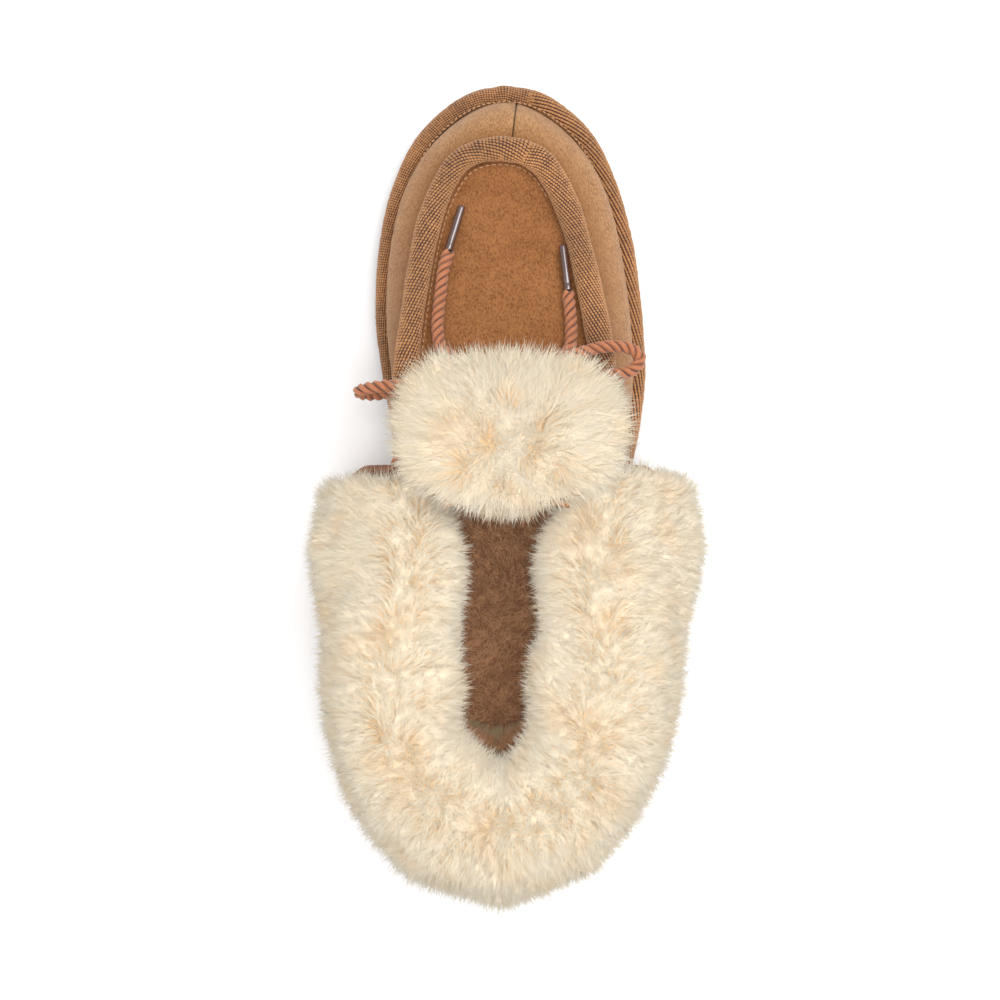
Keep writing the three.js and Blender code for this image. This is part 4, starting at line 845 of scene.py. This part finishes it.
def undercoat(name, pale, deep, size=0.0016):
    material, tree, shader = surface(name, Roughness=0.95, Sheen_Weight=0.3)
    where = put(tree, "ShaderNodeTexCoord").outputs["Object"]
    curls = put(tree, "ShaderNodeTexNoise", {"Vector": where, "Scale": 1 / size, "Detail": 5.0, "Distortion": 1.2})
    share = put(tree, "ShaderNodeMapRange", {"Value": curls.outputs["Fac"], "From Min": 0.35, "From Max": 0.68})
    tree.links.new(put(tree, "ShaderNodeMix", {0: share.outputs["Result"], 6: deep, 7: pale}, data_type="RGBA").outputs[2],
                   shader.inputs["Base Color"])
    tree.links.new(put(tree, "ShaderNodeBump", {
        "Height": curls.outputs["Fac"], "Strength": 0.8, "Distance": 0.001}).outputs[0], shader.inputs["Normal"])
    return material


lock_shape = np.array([(0, -.5, 0), (0, .5, 0), (.12, -.42, .58), (.12, .42, .58), (.38, 0, 1.0)])
lock_draft = new_piece("lock_draft", lock_shape, [(0, 1, 3, 2), (2, 3, 4)])
mark(lock_draft, "along", [0, 0, .58, .58, 1.0])

pile = bpy.data.node_groups.new("wool pile", "GeometryNodeTree")
pile_ids = {}
for label, kind in (("Skin", "Geometry"), ("Lock", "Object"), ("Locks per area", "Float"), ("Length", "Float"),
                    ("Width", "Float"), ("Lean", "Float"), ("Scatter", "Float"), ("Tuft size", "Float"),
                    ("Tuft pull", "Float"), ("Seed", "Int"), ("Finish", "Material")):
    pile_ids[label] = pile.interface.new_socket(label, in_out="INPUT", socket_type="NodeSocket" + kind).identifier
pile.interface.new_socket("Wool", in_out="OUTPUT", socket_type="NodeSocketGeometry")
pile_in = put(pile, "NodeGroupInput").outputs
reach = put(pile, "GeometryNodeInputNamedAttribute", {"Name": "reach"}, data_type="FLOAT").outputs["Attribute"]
comb = put(pile, "GeometryNodeInputNamedAttribute", {"Name": "comb"}, data_type="FLOAT_VECTOR").outputs["Attribute"]
rooted = put(pile, "GeometryNodeInputNamedAttribute", {"Name": "rooted"}, data_type="FLOAT").outputs["Attribute"]
sown = put(pile, "GeometryNodeDistributePointsOnFaces", {
    "Mesh": pile_in["Skin"], "Selection": rooted, "Density": pile_in["Locks per area"], "Seed": pile_in["Seed"]},
    distribute_method="RANDOM")
root_place = put(pile, "GeometryNodeInputPosition").outputs[0]
tuft_scale = put(pile, "ShaderNodeMath", {0: 1.0, 1: pile_in["Tuft size"]}, operation="DIVIDE").outputs[0]
waved = put(pile, "ShaderNodeTexNoise", {"Vector": root_place, "Scale": 95.0, "Detail": 2.0})
wave_off = put(pile, "ShaderNodeVectorMath", {0: waved.outputs["Color"], 1: (0.5, 0.5, 0.5)}, operation="SUBTRACT")
wave = put(pile, "ShaderNodeVectorMath", {0: wave_off.outputs[0], "Scale": pile_in["Scatter"]}, operation="SCALE")
tufts = put(pile, "ShaderNodeTexVoronoi", {"Vector": root_place, "Scale": tuft_scale, "Randomness": 1.0})
to_tuft = put(pile, "ShaderNodeVectorMath", {0: tufts.outputs["Position"], 1: root_place}, operation="SUBTRACT")
pull_scale = put(pile, "ShaderNodeMath", {0: pile_in["Tuft pull"], 1: tuft_scale}, operation="MULTIPLY").outputs[0]
pull = put(pile, "ShaderNodeVectorMath", {0: to_tuft.outputs[0], "Scale": pull_scale}, operation="SCALE")
stray = put(pile, "FunctionNodeRandomValue", {0: (-0.16, -0.16, -0.16), 1: (0.16, 0.16, 0.16), "Seed": 11}, data_type="FLOAT_VECTOR")
leaning = put(pile, "ShaderNodeVectorMath", {0: comb, "Scale": pile_in["Lean"]}, operation="SCALE")
sum_a = put(pile, "ShaderNodeVectorMath", {0: sown.outputs["Normal"], 1: leaning.outputs[0]}, operation="ADD")
sum_b = put(pile, "ShaderNodeVectorMath", {0: wave.outputs[0], 1: pull.outputs[0]}, operation="ADD")
sum_c = put(pile, "ShaderNodeVectorMath", {0: sum_a.outputs[0], 1: sum_b.outputs[0]}, operation="ADD")
heading = put(pile, "ShaderNodeVectorMath", {0: sum_c.outputs[0], 1: stray.outputs[0]}, operation="ADD")
bend_way = put(pile, "ShaderNodeVectorMath", {0: put(pile, "ShaderNodeVectorMath", {
    0: comb, 1: wave.outputs[0]}, operation="ADD").outputs[0], 1: put(pile, "ShaderNodeVectorMath", {
        0: stray.outputs[0], "Scale": 9.0}, operation="SCALE").outputs[0]}, operation="ADD")
raised_up = put(pile, "FunctionNodeAlignRotationToVector", {"Vector": heading.outputs[0]}, axis="Z")
turned = put(pile, "FunctionNodeAlignRotationToVector", {
    "Rotation": raised_up.outputs[0], "Vector": bend_way.outputs[0]}, axis="X", pivot_axis="Z")
vary_long = put(pile, "FunctionNodeRandomValue", {2: 0.72, 3: 1.16, "Seed": 5}, data_type="FLOAT").outputs[1]
long_a = put(pile, "ShaderNodeMath", {0: pile_in["Length"], 1: reach}, operation="MULTIPLY").outputs[0]
long_b = put(pile, "ShaderNodeMath", {0: long_a, 1: vary_long}, operation="MULTIPLY").outputs[0]
lock_size = put(pile, "ShaderNodeCombineXYZ", {"X": long_b, "Y": pile_in["Width"], "Z": long_b})
tinted_points = put(pile, "GeometryNodeStoreNamedAttribute", {
    "Geometry": sown.outputs["Points"], "Name": "tint",
    "Value": put(pile, "FunctionNodeRandomValue", {2: 0.0, 3: 1.0, "Seed": 7}, data_type="FLOAT").outputs[1]},
    data_type="FLOAT", domain="POINT")
lain_points = put(pile, "GeometryNodeStoreNamedAttribute", {
    "Geometry": tinted_points.outputs[0], "Name": "lie", "Value": put(pile, "ShaderNodeVectorMath", {
        0: sown.outputs["Normal"], 1: (0.0, 0.0, 1.3)}, operation="ADD").outputs[0]},
    data_type="FLOAT_VECTOR", domain="POINT")
warm_noise = put(pile, "ShaderNodeTexNoise", {"Vector": root_place, "Scale": 70.0, "Detail": 3.0})
warm_level = put(pile, "ShaderNodeMapRange", {"Value": warm_noise.outputs["Fac"], "From Min": 0.48, "From Max": 0.72})
warm_points = put(pile, "GeometryNodeStoreNamedAttribute", {
    "Geometry": lain_points.outputs[0], "Name": "warmth", "Value": warm_level.outputs["Result"]},
    data_type="FLOAT", domain="POINT")
lock_source = put(pile, "GeometryNodeObjectInfo", {"Object": pile_in["Lock"]})
standing = put(pile, "GeometryNodeInstanceOnPoints", {
    "Points": warm_points.outputs[0], "Instance": lock_source.outputs["Geometry"],
    "Rotation": turned.outputs[0], "Scale": lock_size.outputs[0]})
put(pile, "NodeGroupOutput", {0: put(pile, "GeometryNodeSetMaterial", {
    "Geometry": put(pile, "GeometryNodeRealizeInstances", {"Geometry": standing.outputs[0]}).outputs[0],
    "Material": pile_in["Finish"]}).outputs[0]})


def relaxed(place, edges, rounds):
    """Each point moved half way to the middle of its neighbours, some rounds."""
    count = np.bincount(edges.ravel(), minlength=len(place))[:, None]
    for _ in range(rounds):
        total = np.zeros_like(place)
        for k in range(3):
            total[:, k] = (np.bincount(edges[:, 0], place[edges[:, 1], k], len(place))
                           + np.bincount(edges[:, 1], place[edges[:, 0], k], len(place)))
        place = 0.5 * place + 0.5 * total / np.maximum(count, 1)
    return place


def tree_over(*nodes):
    """Something to ask how far a place is from some CAD nodes."""
    shape = merged(*nodes)
    found = BVHTree.FromBMesh(shape)
    shape.free()
    return found


def away(tree, place):
    return np.array([tree.find_nearest(Vector(p))[3] for p in place])


def wool_core(name, nodes, hide, voxel, draw, lump, material, hold_front=0, calm=2):
    """The undercoat: the fleece's CAD solids as one skin, drawn in under the tips but not off the hide, and lumpy."""
    shape = merged(*nodes)
    mesh = bpy.data.meshes.new(name)
    shape.to_mesh(mesh)
    shape.free()
    draft = bpy.data.objects.new(name + "_draft", mesh)
    scene.collection.objects.link(draft)
    weld = draft.modifiers.new("one skin", "REMESH")
    weld.mode, weld.voxel_size = "VOXEL", voxel
    core = evaluated(draft, name)
    place, outward, edges = arrays(core)
    place = relaxed(place, edges, 6)
    free = step_up(away(hide, place), 1.5 * MM, draw * 0.9)
    draw = draw * (1 - 0.85 * step_up(outward[:, 1], 0.35, 0.8) * step_up(place[:, 1], -0.05, -0.02) * hold_front)
    hills = np.array([noise.noise(Vector(p) / (13 * MM)) + 0.5 * noise.noise(Vector(p) / (6 * MM)) for p in place])
    place = place - outward * (free * (draw - lump * hills))[:, None]
    place = relaxed(place, edges, calm)
    core.data.vertices.foreach_set("co", place.ravel())
    core.data.update()
    core.data.materials.clear()
    core.data.materials.append(material)
    core.data.polygons.foreach_set("use_smooth", [True] * len(core.data.polygons))
    mark(core, "reach", 0.35 + 0.65 * free)
    mark(core, "rooted", (free > 0.12).astype(np.float32))
    return core


def combed(core, comb):
    """Writes which way the locks lean at each point, along the skin."""
    _, outward, _ = arrays(core)
    flat = comb - outward * (comb * outward).sum(1)[:, None]
    mark(core, "comb", flat)


def part_of(core, name, chosen):
    """The faces of an undercoat that are chosen, as a draft for one piece's locks."""
    draft = core.copy()
    draft.data = core.data.copy()
    draft.name = name + "_draft"
    scene.collection.objects.link(draft)
    shape = bmesh.new()
    shape.from_mesh(draft.data)
    shape.faces.ensure_lookup_table()
    bmesh.ops.delete(shape, geom=[shape.faces[i] for i in np.flatnonzero(~chosen)], context="FACES")
    shape.to_mesh(draft.data)
    shape.free()
    return draft


def locks(name, draft, density, length, width, lean, scatter, tuft, pull, seed, material):
    """Locks sown on a draft. Light passes between real hairs, so the undercoat throws the fleece's shadow, not they."""
    piece = grown(draft, name, pile, pile_ids, Lock=lock_draft, Locks_per_area=density * 1e6, Length=length,
                  Width=width, Lean=lean, Scatter=scatter, Tuft_size=tuft, Tuft_pull=pull, Seed=seed, Finish=material)
    piece.visible_shadow = False
    return piece


def faces_of(core):
    mesh = core.data
    centre, outward = np.zeros(len(mesh.polygons) * 3, np.float32), np.zeros(len(mesh.polygons) * 3, np.float32)
    mesh.polygons.foreach_get("center", centre)
    mesh.polygons.foreach_get("normal", outward)
    return centre.reshape(-1, 3), outward.reshape(-1, 3)


cream_locks = fleece("cream wool locks", CREAM_ROOT, CREAM_BODY, CREAM_TIP)
cream_under = undercoat("cream wool undercoat", dye(226, 208, 176), dye(222, 192, 146))

# ---------------------------------------------------------------- cuff
# The shaft's sheepskin folded down round the ankle with its wool outwards: long
# cream wool that parts along the fold and falls inwards and outwards from it.
shaft_tree = tree_over("shaft_medial", "shaft_lateral")
cuff = wool_core("cuff_undercoat", ("cuff_fleece_medial", "cuff_fleece_lateral"), shaft_tree, 2.6 * MM,
                 CREAM_DRAW, 1.6 * MM, cream_under, hold_front=1)
place, outward, _ = arrays(cuff)
CUFF_HUB = np.array([-2.5, -85.0]) * MM
spoke = place[:, :2] - CUFF_HUB
spoke /= np.linalg.norm(spoke, axis=1)[:, None]
bearing = np.degrees(np.arctan2(spoke[:, 1], spoke[:, 0])) % 360
# Fuller or leaner round the ankle, from the outer side by the front, inner side and heel.
fuller = np.interp(bearing, (0, 30, 50, 125, 165, 205, 245, 300, 360),
                   (2.5, -0.5, -4, -5.5, -2.5, -5.5, -1.5, -0.5, 2.5)) * MM
facing_out = step_up((outward[:, :2] * spoke).sum(1), 0.0, 0.6)
place[:, :2] += spoke * (fuller * facing_out)[:, None]
ahead_facing = step_up(outward[:, 1], 0.4, 0.85) * step_up(place[:, 1], -0.040, -0.026)
from_side = np.abs(place[:, 0])
forward = np.where(place[:, 0] < 0, 2.2 - 1.4 * step_up(from_side, 50 * MM, 62 * MM), 5.4 - 4.6 * step_up(from_side, 46 * MM, 62 * MM))
place[:, 1] += ahead_facing * forward * MM
# Inside, the wool swells towards the foot beside the heel and at the mouth, is thin between
# them where the ankle rubs, and parts in a crease at the heel.
ANKLE_STATIONS = np.array((-112, -95, -71, -45)) * MM
closer_medial = np.interp(place[:, 1], ANKLE_STATIONS, (0, 5.5, -2.5, 3)) * MM
closer_lateral = np.interp(place[:, 1], ANKLE_STATIONS, (-2.5, 3.5, -3.5, 3.5)) * MM
inside_medial = step_up(outward[:, 0], 0.15, 0.7) * (place[:, 0] < CUFF_HUB[0]) * (place[:, 1] > -0.125)
inside_lateral = step_up(-outward[:, 0], 0.15, 0.7) * (place[:, 0] > CUFF_HUB[0]) * (place[:, 1] > -0.125)
place[:, 0] += closer_medial * inside_medial - closer_lateral * inside_lateral
crease = np.clip(1 - np.abs(place[:, 0] + 0.5 * MM) / (11 * MM), 0, 1) * step_up(outward[:, 1], 0.1, 0.6) * (place[:, 1] < -0.09)
place[:, 1] -= 4 * MM * crease * step_up(-place[:, 1], 0.10, 0.108)
cuff.data.vertices.foreach_set("co", relaxed(place, arrays(cuff)[2], 2).ravel())
cuff.data.update()
place, outward, _ = arrays(cuff)
ahead = 0.9 * step_up(place[:, 1], -0.035, -0.012) + 0.2 * np.sin(place[:, 1] / 0.02)
combed(cuff, np.stack([0 * ahead, ahead, -0.8 + 0.5 * step_up(place[:, 1], -0.035, -0.012)], 1))
centre, facing = faces_of(cuff)
hub = np.stack([np.full(len(centre), -2.5 * MM), np.maximum(centre[:, 1], -0.095)], 1)
inward = ((centre[:, :2] - hub) * facing[:, :2]).sum(1) < 0
crest = facing[:, 2] > 0.45
medial = centre[:, 0] < -0.0017
for side, on_side in (("medial", medial), ("lateral", ~medial)):
    for zone, in_zone, density, lean in (("crest", crest, 5.0, 0.8), ("inside", ~crest & inward, 3.4, 1.1),
                                         ("outside", ~crest & ~inward, 3.4, 1.3)):
        piece = locks(f"cuff_wool_{zone}_{side}", part_of(cuff, f"cuff_{zone}_{side}", on_side & in_zone), density,
                      CREAM_LENGTH, CREAM_WIDTH, lean, 1.5 if zone == "crest" else 1.1, 3.6 * MM, 0.35, len(zone) + len(side),
                      cream_locks)
        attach(piece, "shoe")
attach(cuff, "shoe")
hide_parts("cuff_fleece_medial", "cuff_fleece_lateral")

# ---------------------------------------------------------------- tongue wool
# The wool side of the tongue, and the tuft of its folded end, which lies over the
# bow like a powder puff and turns up on the fold.
tongue_core = wool_core("tongue_undercoat", ("tongue_fleece",), tree_over("tongue"), 1.8 * MM, 4 * MM, 1 * MM, cream_under)
place, outward, _ = arrays(tongue_core)
combed(tongue_core, np.tile([0, -0.3, -1.0], (len(place), 1)))
tongue_wool = locks("tongue_wool", part_of(tongue_core, "tongue_wool", np.ones(len(tongue_core.data.polygons), bool)), 3.2,
                    7 * MM, CREAM_WIDTH, 0.5, 0.8, 5 * MM, 0.3, 21, cream_locks)
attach(tongue_core, "shoe")
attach(tongue_wool, "shoe")
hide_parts("tongue_fleece")

puff_core = wool_core("puff_undercoat", ("flap_fleece",), tree_over("flap_hide"), 2.4 * MM, 6 * MM, 2.0 * MM, cream_under, calm=16)
place, outward, skin_edges = arrays(puff_core)
middle = np.array([0.001, -0.006, 0.100])
tucked = (place - middle) * np.array([1, 1, 0])
tucked /= np.linalg.norm(tucked, axis=1)[:, None] + 1e-9
place -= tucked * (3.2 * MM * (1 - step_up(outward[:, 2], -0.3, 0.6)))[:, None]
place[:, 2] += 1.5 * MM * step_up(outward[:, 2], 0.5, 0.95)
place[:, 0] += 3.6 * MM * step_up(-place[:, 0], 18 * MM, 40 * MM)
puff_core.data.vertices.foreach_set("co", relaxed(place, skin_edges, 6).ravel())
puff_core.data.update()
place, outward, _ = arrays(puff_core)
from_middle = (place - middle) * np.array([1, 1, 0])
rim = step_up(np.linalg.norm(from_middle, axis=1), 5 * MM, 30 * MM)[:, None]
swirl = np.array([noise.noise_vector(Vector(p) / (7 * MM)) for p in place])
combed(puff_core, from_middle / (26 * MM) + 1.6 * (1 - 0.6 * rim) * swirl + np.array([0, 0, -0.25]) * rim)
puff_wool = locks("puff_wool", part_of(puff_core, "puff_wool", np.ones(len(puff_core.data.polygons), bool)), 5.6,
                  11 * MM, 0.3 * MM, 1.2, 1.1, 4 * MM, 0.2, 31, cream_locks)
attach(puff_core, "tongue_flap")
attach(puff_wool, "tongue_flap")
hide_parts("flap_fleece")

# ---------------------------------------------------------------- lining
# Short brown pile inside the shoe: the sock over the board, and the lining of the
# walls and of the plug.
# As on the cream wool, the darker roots are partly the pile's own colour and partly painted shade.
BROWN_ROOT, BROWN_BODY, BROWN_TIP = dye(146, 98, 66), dye(176, 128, 92), dye(190, 146, 110)
brown_locks = fleece("brown pile", BROWN_ROOT, BROWN_BODY, BROWN_TIP, uneven=0.2)
brown_under = undercoat("brown pile ground", dye(172, 122, 86), dye(140, 94, 62), 0.0012)
for name, node, against, draw, density, long, seed in (
        ("sock", "insole_fleece", "insole_board", 2.0 * MM, 1.6, 5.2 * MM, 41),
        ("wall_lining_medial", "lining_medial", "wall_medial", 2.5 * MM, 1.0, 6 * MM, 42),
        ("wall_lining_lateral", "lining_lateral", "wall_lateral", 2.5 * MM, 1.0, 6 * MM, 43),
        ("plug_lining", "plug_lining", "plug", 1.5 * MM, 0.7, 4 * MM, 44)):
    core = wool_core(name + "_ground", (node,), tree_over(against), 1.8 * MM, draw, 0.7 * MM, brown_under)
    place, outward, _ = arrays(core)
    combed(core, np.stack([0.5 * np.sin(place[:, 1] / 0.017), 0.5 * np.cos(place[:, 0] / 0.012), -0.4 + 0 * place[:, 0]], 1))
    piece = locks(name + "_pile", part_of(core, name, np.ones(len(core.data.polygons), bool)), density, long,
                  0.5 * MM, 0.5, 0.9, 6 * MM, 0.3, seed, brown_locks)
    for made in (core, piece):
        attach(made, "shoe")
    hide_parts(node)

bpy.data.objects.remove(lock_draft)
